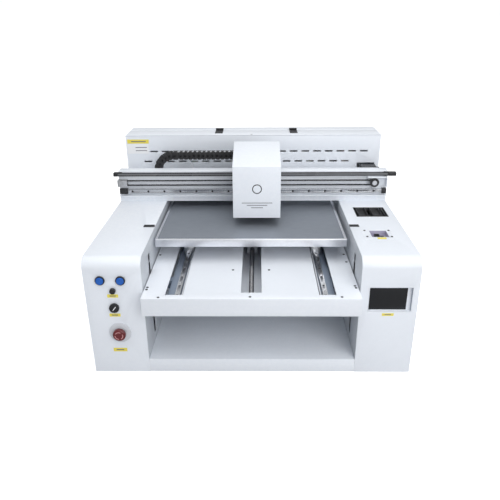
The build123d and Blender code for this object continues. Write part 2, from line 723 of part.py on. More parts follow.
def main():
    os.makedirs("parts", exist_ok=True)
    save("base_pan", base_pan())
    save("welded_frame", welded_frame())
    save("bay_floor", bay_floor())
    save("left_inner_wall", inner_wall(-1))
    save("right_inner_wall", inner_wall(1))
    save("left_pod_cover", left_pod_cover())
    save("right_pod_cover", right_pod_cover())
    save("rear_housing", rear_housing())
    save("rear_lid", rear_lid())
    save("lid_hinge_fixed_leaves", *[hinge_leaf(x, True) for x in HINGE_XS])
    save("lid_hinge_moving_leaves", *[hinge_leaf(x, False) for x in HINGE_XS])
    save("gantry_beam", gantry_beam())
    save("x_rail", *x_rail())
    save("encoder_strip", encoder_strip())
    save("encoder_strip_holders", *encoder_strip_holders())
    save("x_belt", x_belt())
    save("drive_pulley", drive_pulley())
    save("drive_end_plate", drive_end_plate())
    save("x_motor", x_motor())
    save("idler_bracket", idler_bracket())
    save("idler_pulley", idler_pulley())
    save("chain_tray", chain_tray())
    chain_low = CHAIN_TOP - 2 * CHAIN_OUTER_R + CHAIN_H
    save("chain_lower_run", chain_run(CHAIN_BEND_X + 0.3, 75, chain_low))
    save("chain_bend", chain_bend())
    save("chain_upper_end", chain_run(CHAIN_BEND_X + 0.3, CHAIN_BEND_X + 25, CHAIN_TOP))
    save("chain_upper_run", chain_run(CHAIN_BEND_X + 25.3, CARRIAGE_X + 36, CHAIN_TOP))
    save("chain_bracket", chain_bracket())
    save("carriage_cover", carriage_cover())
    save("carriage_plate", carriage_plate())
    save("print_heads", *print_heads())
    save("uv_lamp", uv_lamp())
    save("x_rail_blocks", *x_rail_blocks())
    save("belt_clamp", belt_clamp())
    save("deck_tray", deck_tray(), deck_bottom())
    save("deck_frame", deck_frame())
    save("y_rails", *y_rails())
    save("y_rail_blocks", *y_rail_blocks())
    save("y_screw", y_screw())
    save("y_motor", y_motor())
    save("table_carrier", table_carrier())
    save("table_frame", table_frame())
    save("table_top", table_top())
    save("lift_screw_left", lift_screw(-1))
    save("lift_screw_right", lift_screw(1))
    save("lift_drive", *lift_drive())
    save("blue_button_left", blue_button(BUTTON_XS[0]))
    save("blue_button_right", blue_button(BUTTON_XS[1]))
    save("control_bodies", *control_bodies())
    save("speed_knob", knob(*KNOB, 9, 3, 10))
    save("selector_knob", selector_knob())
    save("estop_stem", estop_stem())
    save("estop_head", estop_head())
    save("display_bezel", display_bezel())
    save("display_screen", display_screen())
    save("station_tray", station_tray())
    save("cap_block", cap_block())
    save("port_panel", port_panel())
    save("power_inlet", power_inlet())
    save("ink_tanks", *ink_tanks())
    save("electronics", power_supply(), control_board())


main()
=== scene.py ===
import json
import math

import bpy
from bpy.props import FloatProperty, FloatVectorProperty, IntProperty, PointerProperty
from mathutils import Matrix, Vector

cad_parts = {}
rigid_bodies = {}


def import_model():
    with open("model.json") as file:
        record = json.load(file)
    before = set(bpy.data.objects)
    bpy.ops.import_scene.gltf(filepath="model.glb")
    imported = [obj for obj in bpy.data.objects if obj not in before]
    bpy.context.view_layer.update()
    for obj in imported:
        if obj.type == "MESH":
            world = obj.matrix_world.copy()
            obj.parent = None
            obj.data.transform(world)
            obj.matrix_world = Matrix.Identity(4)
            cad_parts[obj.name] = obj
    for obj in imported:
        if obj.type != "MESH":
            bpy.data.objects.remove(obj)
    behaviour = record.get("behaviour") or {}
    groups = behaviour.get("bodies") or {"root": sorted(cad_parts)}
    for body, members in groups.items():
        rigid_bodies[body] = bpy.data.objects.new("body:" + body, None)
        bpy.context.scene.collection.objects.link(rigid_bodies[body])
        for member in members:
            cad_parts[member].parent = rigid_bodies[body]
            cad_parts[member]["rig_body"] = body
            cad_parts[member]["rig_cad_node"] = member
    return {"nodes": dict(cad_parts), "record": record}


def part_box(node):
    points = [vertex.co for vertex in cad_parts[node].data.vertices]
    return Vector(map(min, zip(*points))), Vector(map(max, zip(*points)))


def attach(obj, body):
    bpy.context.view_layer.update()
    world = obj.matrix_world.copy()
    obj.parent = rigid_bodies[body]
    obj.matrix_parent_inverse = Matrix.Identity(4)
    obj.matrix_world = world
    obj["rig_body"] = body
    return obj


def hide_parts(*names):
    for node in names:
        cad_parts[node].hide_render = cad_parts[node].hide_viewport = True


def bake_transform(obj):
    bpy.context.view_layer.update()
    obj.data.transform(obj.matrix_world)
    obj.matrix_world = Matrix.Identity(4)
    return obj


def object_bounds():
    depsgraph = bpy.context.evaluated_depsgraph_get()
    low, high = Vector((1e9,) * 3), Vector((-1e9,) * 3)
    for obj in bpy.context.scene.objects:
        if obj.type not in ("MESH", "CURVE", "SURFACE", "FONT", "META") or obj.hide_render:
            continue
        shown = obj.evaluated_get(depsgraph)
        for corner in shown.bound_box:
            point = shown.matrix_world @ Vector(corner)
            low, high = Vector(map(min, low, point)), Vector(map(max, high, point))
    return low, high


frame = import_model()
CAD_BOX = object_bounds()

bl_info = {
    "name": "Flatbed UV printer",
    "version": (1, 0, 0),
    "blender": (4, 5, 0),
    "location": "3D View > Sidebar > UV Printer",
    "description": "Dresses a flatbed UV printer: painted covers, rails, drag chain, bed and controls",
    "category": "Object",
}

Y_AXIS = Vector((0, 1, 0))
Z_AXIS = Vector((0, 0, 1))
SIDES = (-1, 1)
SELECTOR_TURN = math.radians(38)
# depth of the pale strip inside the drag chain, a painted highlight that shows between the rungs
HIGHLIGHT_STRIP = (0.0008, 0.0020)
HIGHLIGHT_STRIP_ARC = math.radians(168)
HOLE_PITCH = 0.06
BELT_CLEAR = 0.0003
FILM = 0.0003
WELD = 0.00001
RAIL_SPAN = (-0.4673, 0.4803)
BED_SCREWS = (
    (-0.3140, -0.4007), (-0.3140, -0.4140), (-0.2712, -0.4629), (-0.3140, -0.1638), (-0.0602, -0.2805),
    (0.0555, -0.2805), (-0.0032, -0.4590), (0.2642, -0.4600), (0.3130, -0.3906), (0.3140, -0.4035),
    (0.3120, -0.1605), (0.3120, -0.2205),
)


# ---------------------------------------------------------------- sizes and colours
def colour_property(name, description, default):
    return FloatVectorProperty(
        name=name, description=description, default=default, subtype="COLOR", min=0, max=1, size=3
    )


class FinishSettings(bpy.types.PropertyGroup):
    paint: colour_property("Paint", "Powder coat on the covers", (0.795, 0.83, 0.885))
    bed: colour_property("Table", "Hard-anodised table face", (0.26, 0.285, 0.325))
    edge: colour_property("Table edge", "Bright anodised edge of the table", (0.90, 0.91, 0.95))
    black: colour_property("Black plastic", "Mouldings, chain and holders", (0.012, 0.012, 0.014))
    button: colour_property("Buttons", "The two push buttons", (0.002, 0.10, 0.46))
    stop: colour_property("Stop", "Mushroom of the emergency stop", (0.12, 0.004, 0.006))
    label: colour_property("Labels", "Stick-on labels", (0.80, 0.68, 0.10))
    bend_radius: FloatProperty(
        name="Sheet corner", description="Rounding of the sheet metal corners",
        default=0.0009, unit="LENGTH", min=0.0001, max=0.003,
    )


class ChainSettings(bpy.types.PropertyGroup):
    pitch: FloatProperty(
        name="Link pitch", description="Length of one link of the drag chain",
        default=0.0172, unit="LENGTH", min=0.01, max=0.05,
    )
    wall: FloatProperty(
        name="Plate", description="Thickness of a link's side plate",
        default=0.0024, unit="LENGTH", min=0.001, max=0.006,
    )


class DriveSettings(bpy.types.PropertyGroup):
    tooth_pitch: FloatProperty(
        name="Belt pitch", description="Distance between belt teeth",
        default=0.005, unit="LENGTH", min=0.002, max=0.01,
    )
    table_screw_lead: FloatProperty(
        name="Table screw pitch", description="Distance between the table screw's thread turns",
        default=0.010, unit="LENGTH", min=0.002, max=0.02,
    )
    lift_screw_lead: FloatProperty(
        name="Lift screw pitch", description="Distance between the lift screws' thread turns",
        default=0.005, unit="LENGTH", min=0.002, max=0.02,
    )
    turn_steps: IntProperty(
        name="Thread steps", description="Faces in one turn of a thread", default=20, min=8, max=64
    )


class StudioSettings(bpy.types.PropertyGroup):
    lens: FloatProperty(
        name="Lens", description="Focal length on a 36 mm sensor, in millimetres",
        default=39.16, min=10, max=200,
    )
    place: FloatVectorProperty(
        name="Camera place", description="Where the camera stands",
        default=(0.0204, -1.8518, 1.0608), unit="LENGTH", size=3,
    )
    pitch: FloatProperty(
        name="Camera pitch", description="How far the camera looks down",
        default=math.radians(23.93), subtype="ANGLE",
    )
    yaw: FloatProperty(
        name="Camera yaw", description="Turn of the camera about the vertical",
        default=math.radians(0.93), subtype="ANGLE",
    )
    roll: FloatProperty(
        name="Camera roll", description="Turn of the camera about its own axis",
        default=math.radians(-0.42), subtype="ANGLE",
    )
    key_power: FloatProperty(
        name="Key light", description="Power of the large overhead light", default=55, unit="POWER"
    )
    fill_power: FloatProperty(
        name="Fill light", description="Power of the front light", default=68, unit="POWER"
    )
    side_power: FloatProperty(
        name="Side lights", description="Power of each light at the sides", default=3, unit="POWER"
    )


def settings(group):
    return getattr(bpy.context.scene, group)


# ---------------------------------------------------------------- shader groups
def new_group(name, inputs, outputs):
    """A shader node group with its sockets: inputs are (name, kind, default)."""
    group = bpy.data.node_groups.new(name, "ShaderNodeTree")
    for socket, kind, default in inputs:
        item = group.interface.new_socket(socket, in_out="INPUT", socket_type=kind)
        if default is not None:
            item.default_value = default
    for socket, kind in outputs:
        group.interface.new_socket(socket, in_out="OUTPUT", socket_type=kind)
    start = group.nodes.new("NodeGroupInput")
    end = group.nodes.new("NodeGroupOutput")
    return group, start, end


def add_math(tree, operation, first, second, clamp=False):
    node = tree.nodes.new("ShaderNodeMath")
    node.operation = operation
    node.use_clamp = clamp
    for socket, value in zip(node.inputs, (first, second)):
        if isinstance(value, (int, float)):
            socket.default_value = value
        else:
            tree.links.new(value, socket)
    return node.outputs[0]


def add_noise(tree, vector, scale, detail=3.0, roughness=0.5):
    node = tree.nodes.new("ShaderNodeTexNoise")
    node.inputs["Detail"].default_value = detail
    node.inputs["Roughness"].default_value = roughness
    tree.links.new(vector, node.inputs["Vector"])
    if isinstance(scale, (int, float)):
        node.inputs["Scale"].default_value = scale
    else:
        tree.links.new(scale, node.inputs["Scale"])
    return node.outputs["Fac"]


def add_range(tree, value, low, high, to_low, to_high):
    node = tree.nodes.new("ShaderNodeMapRange")
    tree.links.new(value, node.inputs["Value"])
    for name, number in (("From Min", low), ("From Max", high), ("To Min", to_low), ("To Max", to_high)):
        if isinstance(number, (int, float)):
            node.inputs[name].default_value = number
        else:
            tree.links.new(number, node.inputs[name])
    return node.outputs["Result"]


def add_mix(tree, factor, first, second, blend="MIX"):
    node = tree.nodes.new("ShaderNodeMix")
    node.data_type = "RGBA"
    node.blend_type = blend
    sockets = {s.identifier: s for s in node.inputs}
    for key, value in (("Factor_Float", factor), ("A_Color", first), ("B_Color", second)):
        if isinstance(value, (int, float)):
            sockets[key].default_value = value
        elif isinstance(value, tuple):
            sockets[key].default_value = (*value[:3], 1)
        else:
            tree.links.new(value, sockets[key])
    return next(s for s in node.outputs if s.identifier == "Result_Color")


def make_tone_group():
    """Slow and fast colour variation over a surface."""
    group, start, end = new_group(
        "surface_tone",
        [("Vector", "NodeSocketVector", None), ("Color", "NodeSocketColor", (0.8, 0.8, 0.8, 1)),
         ("Amount", "NodeSocketFloat", 0.05), ("Scale", "NodeSocketFloat", 6.0)],
        [("Color", "NodeSocketColor"), ("Mask", "NodeSocketFloat")],
    )
    slow = add_noise(group, start.outputs["Vector"], start.outputs["Scale"], 4.0, 0.55)
    fast_scale = add_math(group, "MULTIPLY", start.outputs["Scale"], 14.0)
    fast = add_noise(group, start.outputs["Vector"], fast_scale, 2.0)
    slow = add_math(group, "MULTIPLY", slow, 0.7)
    both = add_math(group, "ADD", slow, add_math(group, "MULTIPLY", fast, 0.3))
    low = add_math(group, "SUBTRACT", 1.0, start.outputs["Amount"])
    high = add_math(group, "ADD", 1.0, start.outputs["Amount"])
    gain = add_range(group, both, 0.3, 0.7, low, high)
    grey = group.nodes.new("ShaderNodeCombineColor")
    for socket in grey.inputs:
        if socket.type == "VALUE":
            group.links.new(gain, socket)
    toned = add_mix(group, 1.0, start.outputs["Color"], grey.outputs[0], "MULTIPLY")
    group.links.new(toned, end.inputs["Color"])
    group.links.new(both, end.inputs["Mask"])
    return group


def make_wear_and_highlight_group():
    """A mask on convex edges, broken up by noise: rubbed wear, and a painted highlight along the edges."""
    group, start, end = new_group(
        "edge_wear",
        [("Vector", "NodeSocketVector", None), ("Amount", "NodeSocketFloat", 0.3),
         ("Scale", "NodeSocketFloat", 90.0)],
        [("Mask", "NodeSocketFloat")],
    )
    geometry = group.nodes.new("ShaderNodeNewGeometry")
    edge = add_range(group, geometry.outputs["Pointiness"], 0.52, 0.60, 0.0, 1.0)
    noise = add_noise(group, start.outputs["Vector"], start.outputs["Scale"], 4.0, 0.6)
    broken = add_range(group, noise, 0.42, 0.62, 0.0, 1.0)
    mask = add_math(group, "MULTIPLY", edge, broken)
    mask = add_math(group, "MULTIPLY", mask, start.outputs["Amount"], clamp=True)
    group.links.new(mask, end.inputs["Mask"])
    return group


def make_peel_group():
    """The fine orange peel of powder coat or moulded plastic: a height and a roughness."""
    group, start, end = new_group(
        "orange_peel",
        [("Vector", "NodeSocketVector", None), ("Scale", "NodeSocketFloat", 900.0),
         ("Roughness", "NodeSocketFloat", 0.35), ("Spread", "NodeSocketFloat", 0.06)],
        [("Height", "NodeSocketFloat"), ("Roughness", "NodeSocketFloat")],
    )
    height = add_noise(group, start.outputs["Vector"], start.outputs["Scale"], 2.0, 0.4)
    patch = add_noise(group, start.outputs["Vector"], 7.0, 3.0)
    low = add_math(group, "SUBTRACT", start.outputs["Roughness"], start.outputs["Spread"])
    high = add_math(group, "ADD", start.outputs["Roughness"], start.outputs["Spread"])
    group.links.new(height, end.inputs["Height"])
    group.links.new(add_range(group, patch, 0.3, 0.7, low, high), end.inputs["Roughness"])
    return group


def make_brush_group():
    """Long fine lines along one direction, as ground or brushed metal has."""
    group, start, end = new_group(
        "brushed_lines",
        [("Vector", "NodeSocketVector", None), ("Stretch", "NodeSocketVector", (20.0, 900.0, 900.0)),
         ("Roughness", "NodeSocketFloat", 0.3), ("Spread", "NodeSocketFloat", 0.1)],
        [("Height", "NodeSocketFloat"), ("Roughness", "NodeSocketFloat"), ("Mask", "NodeSocketFloat")],
    )
    stretch = group.nodes.new("ShaderNodeVectorMath")
    stretch.operation = "MULTIPLY"
    group.links.new(start.outputs["Vector"], stretch.inputs[0])
    group.links.new(start.outputs["Stretch"], stretch.inputs[1])
    lines = add_noise(group, stretch.outputs["Vector"], 1.0, 3.0, 0.6)
    low = add_math(group, "SUBTRACT", start.outputs["Roughness"], start.outputs["Spread"])
    high = add_math(group, "ADD", start.outputs["Roughness"], start.outputs["Spread"])
    group.links.new(lines, end.inputs["Height"])
    group.links.new(lines, end.inputs["Mask"])
    group.links.new(add_range(group, lines, 0.3, 0.7, low, high), end.inputs["Roughness"])
    return group


GROUP_MAKERS = {
    "surface_tone": make_tone_group,
    "edge_wear": make_wear_and_highlight_group,
    "orange_peel": make_peel_group,
    "brushed_lines": make_brush_group,
}


def shared_group(name):
    return bpy.data.node_groups.get(name) or GROUP_MAKERS[name]()


# ---------------------------------------------------------------- materials
class Finish:
    """A material being built: its tree, its Principled shader and its Object coordinates."""

    def __init__(self, name):
        self.material = bpy.data.materials.new(name)
        self.material.use_nodes = True
        self.tree = self.material.node_tree
        self.shader = self.tree.nodes["Principled BSDF"]
        coordinates = self.tree.nodes.new("ShaderNodeTexCoord")
        self.place = coordinates.outputs["Object"]

    def effect(self, name, **values):
        node = self.tree.nodes.new("ShaderNodeGroup")
        node.node_tree = shared_group(name)
        self.tree.links.new(self.place, node.inputs["Vector"])
        for key, value in values.items():
            socket = node.inputs[key.capitalize()]
            socket.default_value = (*value, 1) if key == "color" else value
        return node.outputs

    def link(self, output, socket):
        self.tree.links.new(output, self.shader.inputs[socket])

    def bump(self, height, strength, distance):
        node = self.tree.nodes.new("ShaderNodeBump")
        node.inputs["Strength"].default_value = strength
        node.inputs["Distance"].default_value = distance
        self.tree.links.new(height, node.inputs["Height"])
        self.link(node.outputs["Normal"], "Normal")

    def constants(self, **values):
        for key, value in values.items():
            self.shader.inputs[key.replace("_", " ").title().replace("Ior", "IOR")].default_value = value


def coated(name, colour, roughness, amount, wear, peel=700.0, bump=0.12, worn_and_lit=None):
    """Powder coat or moulded plastic: toned colour, orange peel, and convex edges made lighter, partly as
    rubbed wear and partly as a painted highlight.
    """
    finish = Finish(name)
    tone = finish.effect("surface_tone", color=colour, amount=amount, scale=5.0)
    rub_and_highlight = finish.effect("edge_wear", amount=wear, scale=120.0)
    peel_out = finish.effect("orange_peel", scale=peel, roughness=roughness, spread=0.05)
    worn_and_lit = worn_and_lit or tuple(min(1.0, c * 1.5 + 0.03) for c in colour)
    finish.link(add_mix(finish.tree, rub_and_highlight["Mask"], tone["Color"], worn_and_lit), "Base Color")
    finish.link(peel_out["Roughness"], "Roughness")
    finish.bump(peel_out["Height"], bump, 0.0003)
    return finish


def metal(name, colour, roughness, stretch, spread=0.08, bump=0.1, amount=0.06):
    """Ground, brushed or anodised metal with lines along the long direction."""
    finish = Finish(name)
    tone = finish.effect("surface_tone", color=colour, amount=amount, scale=9.0)
    lines = finish.effect("brushed_lines", stretch=stretch, roughness=roughness, spread=spread)
    # convex edges are made brighter: partly rubbed wear, partly a painted highlight
    rub_and_highlight = finish.effect("edge_wear", amount=0.5, scale=150.0)
    rubbed_and_lit = tuple(min(1.0, c * 1.3 + 0.05) for c in colour)
    finish.link(add_mix(finish.tree, rub_and_highlight["Mask"], tone["Color"], rubbed_and_lit), "Base Color")
    finish.link(lines["Roughness"], "Roughness")
    finish.bump(lines["Height"], bump, 0.0002)
    finish.constants(metallic=1.0)
    return finish


ACROSS = (8.0, 1400.0, 1400.0)
ALONG = (1400.0, 8.0, 1400.0)
UPRIGHT = (1400.0, 1400.0, 8.0)


def table_face():
    finish = Finish("table_face")
    colour = tuple(settings("uvp_finish").bed)
    tone = finish.effect("surface_tone", color=colour, amount=0.08, scale=3.0)
    lines = finish.effect("brushed_lines", stretch=(30.0, 500.0, 500.0), roughness=0.42, spread=0.07)
    mottle = finish.effect("orange_peel", scale=1600.0, roughness=0.45, spread=0.08)
    dark = tuple(c * 0.82 for c in colour)
    share = add_math(finish.tree, "MULTIPLY", lines["Mask"], 0.5)
    finish.link(add_mix(finish.tree, share, tone["Color"], dark), "Base Color")
    finish.link(lines["Roughness"], "Roughness")
    finish.bump(mottle["Height"], 0.18, 0.0002)
    finish.constants(metallic=0.35)
    return finish


def encoder_film():
    """A smoked film, clear grey along its middle and black along both edges."""
    finish = coated("encoder_film", (0.16, 0.165, 0.17), 0.3, 0.1, 0.0, 900.0, 0.05)
    low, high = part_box("encoder_strip")
    middle = (low.z + high.z) / 2
    parts = finish.tree.nodes.new("ShaderNodeSeparateXYZ")
    finish.tree.links.new(finish.place, parts.inputs[0])
    offset = add_math(finish.tree, "SUBTRACT", parts.outputs["Z"], middle)
    away = add_math(finish.tree, "ABSOLUTE", offset, 0.0)
    edge = add_range(finish.tree, away, 0.0030, 0.0036, 0.0, 1.0)
    tone = finish.shader.inputs["Base Color"].links[0].from_socket
    finish.link(add_mix(finish.tree, edge, tone, (0.015, 0.015, 0.018)), "Base Color")
    return finish


COAT = {"coat_weight": 0.4, "coat_roughness": 0.12}
# material, colour or its setting, roughness, tone, edge wear and painted edge highlight, grain scale, grain
# height, colour on the worn and highlighted edges (None: a little brighter), other shader values
COATED = {
    "paint": ("white_powder_coat", "paint", 0.36, 0.018, 0.25, 700.0, 0.12, None, {"specular_ior_level": 0.45}),
    # a darker grey copy of the white cover paint for the pods' inner walls: painted shade, since those walls
    # stand in shade
    "wall_paint": ("wall_paint", (0.56, 0.59, 0.63), 0.45, 0.03, 0.2, 700.0, 0.12, None, {}),
    # dark blue-grey for the white deck frame seen down the slots and for the display recess's side wall:
    # painted shade in those deep places
    "frame_paint": ("frame_paint", (0.26, 0.31, 0.39), 0.45, 0.04, 0.2, 700.0, 0.12, None, {}),
    "socket_grey": ("socket_grey", (0.30, 0.28, 0.38), 0.4, 0.08, 0.1, 900.0, 0.1, None, {}),
    "black": ("black_plastic", "black", 0.42, 0.25, 0.35, 1500.0, 0.2, (0.09, 0.09, 0.1), {}),
    "chain": ("chain_plastic", (0.009, 0.009, 0.010), 0.5, 0.3, 0.3, 1200.0, 0.15, (0.05, 0.05, 0.055), {}),
    "belt": ("belt_rubber", (0.012, 0.014, 0.014), 0.62, 0.3, 0.25, 2200.0, 0.3, (0.06, 0.06, 0.06), {}),
    "cap": ("cap_rubber", (0.02, 0.02, 0.022), 0.55, 0.25, 0.2, 1800.0, 0.25, (0.08, 0.08, 0.08), {}),
    # pale grey for the strip inside the drag chain: a painted highlight between the rungs
    "cable": ("cable", (0.62, 0.64, 0.67), 0.45, 0.15, 0.1, 900.0, 0.1, None, {}),
    "blue": ("blue_plastic", "button", 0.25, 0.1, 0.15, 900.0, 0.05, (0.15, 0.4, 0.85), COAT),
    "red": ("red_plastic", "stop", 0.28, 0.12, 0.2, 900.0, 0.05, (0.6, 0.1, 0.1), COAT),
    "pale": ("pale_plastic", (0.62, 0.64, 0.68), 0.4, 0.04, 0.1, 1200.0, 0.1, None, {}),
    "label": ("label_film", "label", 0.4, 0.06, 0.1, 1500.0, 0.04, None, {}),
    "white_label": ("white_film", (0.86, 0.87, 0.89), 0.42, 0.02, 0.05, 1500.0, 0.04, None, {}),
    "print": ("dark_print", (0.02, 0.02, 0.025), 0.5, 0.2, 0.1, 1500.0, 0.05, None, {}),
    "stop_print": ("stop_print", (0.62, 0.30, 0.30), 0.4, 0.1, 0.1, 900.0, 0.05, None, {}),
    "bars": ("bars", (0.16, 0.16, 0.18), 0.5, 0.2, 0.1, 1500.0, 0.05, None, {}),
    "screen": (
        "screen_glass", (0.006, 0.007, 0.009), 0.12, 0.3, 0.0, 60.0, 0.0, None, {"specular_ior_level": 0.4}
    ),
    "tank": (
        "tank_plastic", (0.72, 0.72, 0.70), 0.4, 0.05, 0.1, 1200.0, 0.1, None, {"subsurface_weight": 0.15}
    ),
    "board": ("board_lacquer", (0.01, 0.09, 0.04), 0.35, 0.2, 0.1, 300.0, 0.1, None, {}),
}
# colour or its setting, roughness, stretch of the lines, spread, line height, tone
METALS = {
    "table_edge": ("edge", 0.34, ACROSS, 0.06, 0.08, 0.06),
    "rail_across": ((0.50, 0.51, 0.53), 0.24, ACROSS, 0.08, 0.1, 0.06),
    # the table rails' steel is made brighter than the beam rail's: a painted highlight for the overhead light
    # they reflect
    "rail_along": ((0.74, 0.75, 0.77), 0.3, ALONG, 0.08, 0.1, 0.06),
    "screw_steel": ((0.30, 0.30, 0.31), 0.2, ALONG, 0.08, 0.1, 0.06),
    "lift_steel": ((0.50, 0.50, 0.52), 0.28, UPRIGHT, 0.08, 0.1, 0.06),
    "dark_metal": ((0.10, 0.10, 0.105), 0.35, ACROSS, 0.08, 0.1, 0.15),
    "zinc": ((0.52, 0.53, 0.55), 0.42, (160.0, 160.0, 160.0), 0.12, 0.15, 0.12),
    "machined": ((0.66, 0.67, 0.70), 0.3, ACROSS, 0.08, 0.1, 0.06),
}
SPECIAL = {"table_face": table_face, "strip": encoder_film}


def colour_of(value):
    return tuple(getattr(settings("uvp_finish"), value)) if isinstance(value, str) else value


def make_finish(name):
    if name in SPECIAL:
        return SPECIAL[name]()
    if name in METALS:
        colour, *look = METALS[name]
        return metal(name, colour_of(colour), *look)
    material, colour, *look, extra = COATED[name]
    finish = coated(material, colour_of(colour), *look)
    finish.constants(**extra)
    return finish


_made = {}


def finish_named(name):
    if name not in _made:
        _made[name] = make_finish(name).material
    return _made[name]


# ---------------------------------------------------------------- modelling by operators
def clear_selection():
    if bpy.context.object and bpy.context.object.mode != "OBJECT":
        bpy.ops.object.mode_set(mode="OBJECT")
    bpy.ops.object.select_all(action="DESELECT")


def select_only(*pieces):
    clear_selection()
    for piece in pieces:
        piece.select_set(True)
    bpy.context.view_layer.objects.active = pieces[0]


def settle(piece, name):
    """Puts the piece's place, turn and scale into its mesh."""
    select_only(piece)
    bpy.ops.object.transform_apply(location=True, rotation=True, scale=True)
    piece.name = name
    piece.data.name = name
    return piece


def block(name, low, high):
    low, high = Vector(low), Vector(high)
    clear_selection()
    bpy.ops.mesh.primitive_cube_add(size=1, location=(low + high) / 2)
    piece = bpy.context.object
    piece.scale = high - low
    return settle(piece, name)


def bar(name, radius, start, end, sides=48):
    start, end = Vector(start), Vector(end)
    turn = (end - start).to_track_quat("Z", "Y").to_euler()
    clear_selection()
    bpy.ops.mesh.primitive_cylinder_add(
        vertices=sides, radius=radius, depth=(end - start).length, location=(start + end) / 2, rotation=turn
    )
    return settle(bpy.context.object, name)


def inset_and_push(piece, direction, thickness, depth):
    """Insets the faces that look along a direction and pushes the middle in by depth."""
    select_only(piece)
    bpy.ops.object.mode_set(mode="EDIT")
    bpy.ops.mesh.select_mode(type="FACE")
    bpy.ops.mesh.select_all(action="DESELECT")
    bpy.ops.object.mode_set(mode="OBJECT")
    for face in piece.data.polygons:
        face.select = face.normal.dot(direction) >= 0.95
    bpy.ops.object.mode_set(mode="EDIT")
    bpy.ops.mesh.inset(thickness=thickness, depth=0)
    bpy.ops.mesh.extrude_region_move(TRANSFORM_OT_translate={"value": -direction * depth})
    bpy.ops.object.mode_set(mode="OBJECT")


def ease(piece, width, segments=2, angle=38):
    """Rounds the sharp edges and shades smoothly across them."""
    select_only(piece)
    modifier = piece.modifiers.new("ease", "BEVEL")
    modifier.width = width
    modifier.segments = segments
    modifier.limit_method = "ANGLE"
    modifier.angle_limit = math.radians(angle)
    modifier.use_clamp_overlap = True
    bpy.ops.object.modifier_apply(modifier="ease")
    bpy.ops.object.shade_smooth_by_angle(angle=math.radians(angle))
    return piece


def edit_all(piece):
    """Opens the piece in edit mode with everything selected."""
    select_only(piece)
    bpy.ops.object.mode_set(mode="EDIT")
    bpy.ops.mesh.select_all(action="SELECT")


def spin_round(piece, centre, angle, steps):
    """Spins a flat outline about the Y direction through the centre and closes its ends."""
    edit_all(piece)
    bpy.ops.mesh.spin(steps=steps, angle=angle, center=centre, axis=(0, 1, 0))
    bpy.ops.mesh.select_all(action="SELECT")
    bpy.ops.mesh.remove_doubles(threshold=WELD)
    bpy.ops.mesh.fill_holes(sides=0)
    bpy.ops.mesh.select_all(action="SELECT")
    bpy.ops.mesh.normals_make_consistent(inside=False)
    bpy.ops.object.mode_set(mode="OBJECT")


def join(name, pieces):
    select_only(*pieces)
    if len(pieces) > 1:
        bpy.ops.object.join()
    piece = bpy.context.view_layer.objects.active
    piece.name = name
    piece.data.name = name
    return piece


def copy_at(piece, matrix, name=None):
    twin = piece.copy()
    twin.data = piece.data.copy()
    twin.data.transform(matrix)
    twin.name = name or piece.name
    bpy.context.scene.collection.objects.link(twin)
    return twin


def remove(piece):
    bpy.data.meshes.remove(piece.data)


def row_of(piece, name, moves):
    """The piece repeated at each move, as one piece."""
    twins = [copy_at(piece, Matrix.Translation(move)) for move in moves]
    remove(piece)
    return join(name, twins)


def hand_over(piece, finish, body, slot, *nodes):
    """Gives a finished piece its material, its body and the CAD nodes it stands for."""
    piece.data.materials.clear()
    piece.data.materials.append(finish_named(finish))
    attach(piece, body)
    if nodes:
        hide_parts(*nodes)
    return piece


def paint_faces(piece, finish, test):
    """A second finish on the faces whose corners all pass the test."""
    piece.data.materials.append(finish_named(finish))
    index = len(piece.data.materials) - 1
    corners = piece.data.vertices
    for face in piece.data.polygons:
        if all(test(corners[i].co) for i in face.vertices):
            face.material_index = index
    return piece


def body_of(node):
    return frame["nodes"][node]["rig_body"]


SLOT_OF = {part["node"]: part["material_slot"] for part in frame["record"]["subparts"]}


def dress(node, finish, width=0.0005, segments=2):
    """Stands a copy of a CAD piece in for it, its faces merged and its corners rounded."""
    piece = frame["nodes"][node].copy()
    piece.data = frame["nodes"][node].data.copy()
    piece.parent = None
    piece.name = node + "_finished"
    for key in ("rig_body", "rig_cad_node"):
        del piece[key]
    bpy.context.scene.collection.objects.link(piece)
    edit_all(piece)
    bpy.ops.mesh.remove_doubles(threshold=WELD)
    bpy.ops.mesh.dissolve_limited(angle_limit=math.radians(0.5))
    bpy.ops.object.mode_set(mode="OBJECT")
    ease(piece, width, segments)
    return hand_over(piece, finish, body_of(node), SLOT_OF[node], node)


def recoat(node, finish):
    """A CAD piece that keeps its own mesh gets its material."""
    materials = frame["nodes"][node].data.materials
    materials.clear()
    materials.append(finish_named(finish))


# ---------------------------------------------------------------- operators
class UVP_OT_covers(bpy.types.Operator):
    """Paint the sheet metal covers and round their bends"""

    bl_idname = "uvp.covers"
    bl_label = "Sheet metal covers"

    def execute(self, context):
        width = settings("uvp_finish").bend_radius
        for node in (
            "left_pod_cover", "right_pod_cover", "rear_housing", "rear_lid", "gantry_beam", "deck_tray",
            "carriage_cover", "bay_floor", "drive_end_plate", "chain_tray",
        ):
            dress(node, "paint", width, 3)
        port = dress("port_panel", "paint", 0.0003, 1)
        low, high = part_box("port_panel")
        flange = high.z - 0.0006
        paint_faces(port, "socket_grey", lambda c: c.z < flange or (
            low.x + 0.0255 < c.x < high.x - 0.0175 and low.y + 0.0185 < c.y < high.y - 0.0125
        ))
        dress("base_pan", "paint", 0.0005, 2)
        # the inner walls get the darker copy of the cover paint: painted shade
        for node in ("left_inner_wall", "right_inner_wall"):
            dress(node, "wall_paint", 0.0005, 2)
        # the deck frame below the slots is made dark blue-grey: painted shade
        dress("deck_frame", "frame_paint", 0.0008, 2)
        return {"FINISHED"}


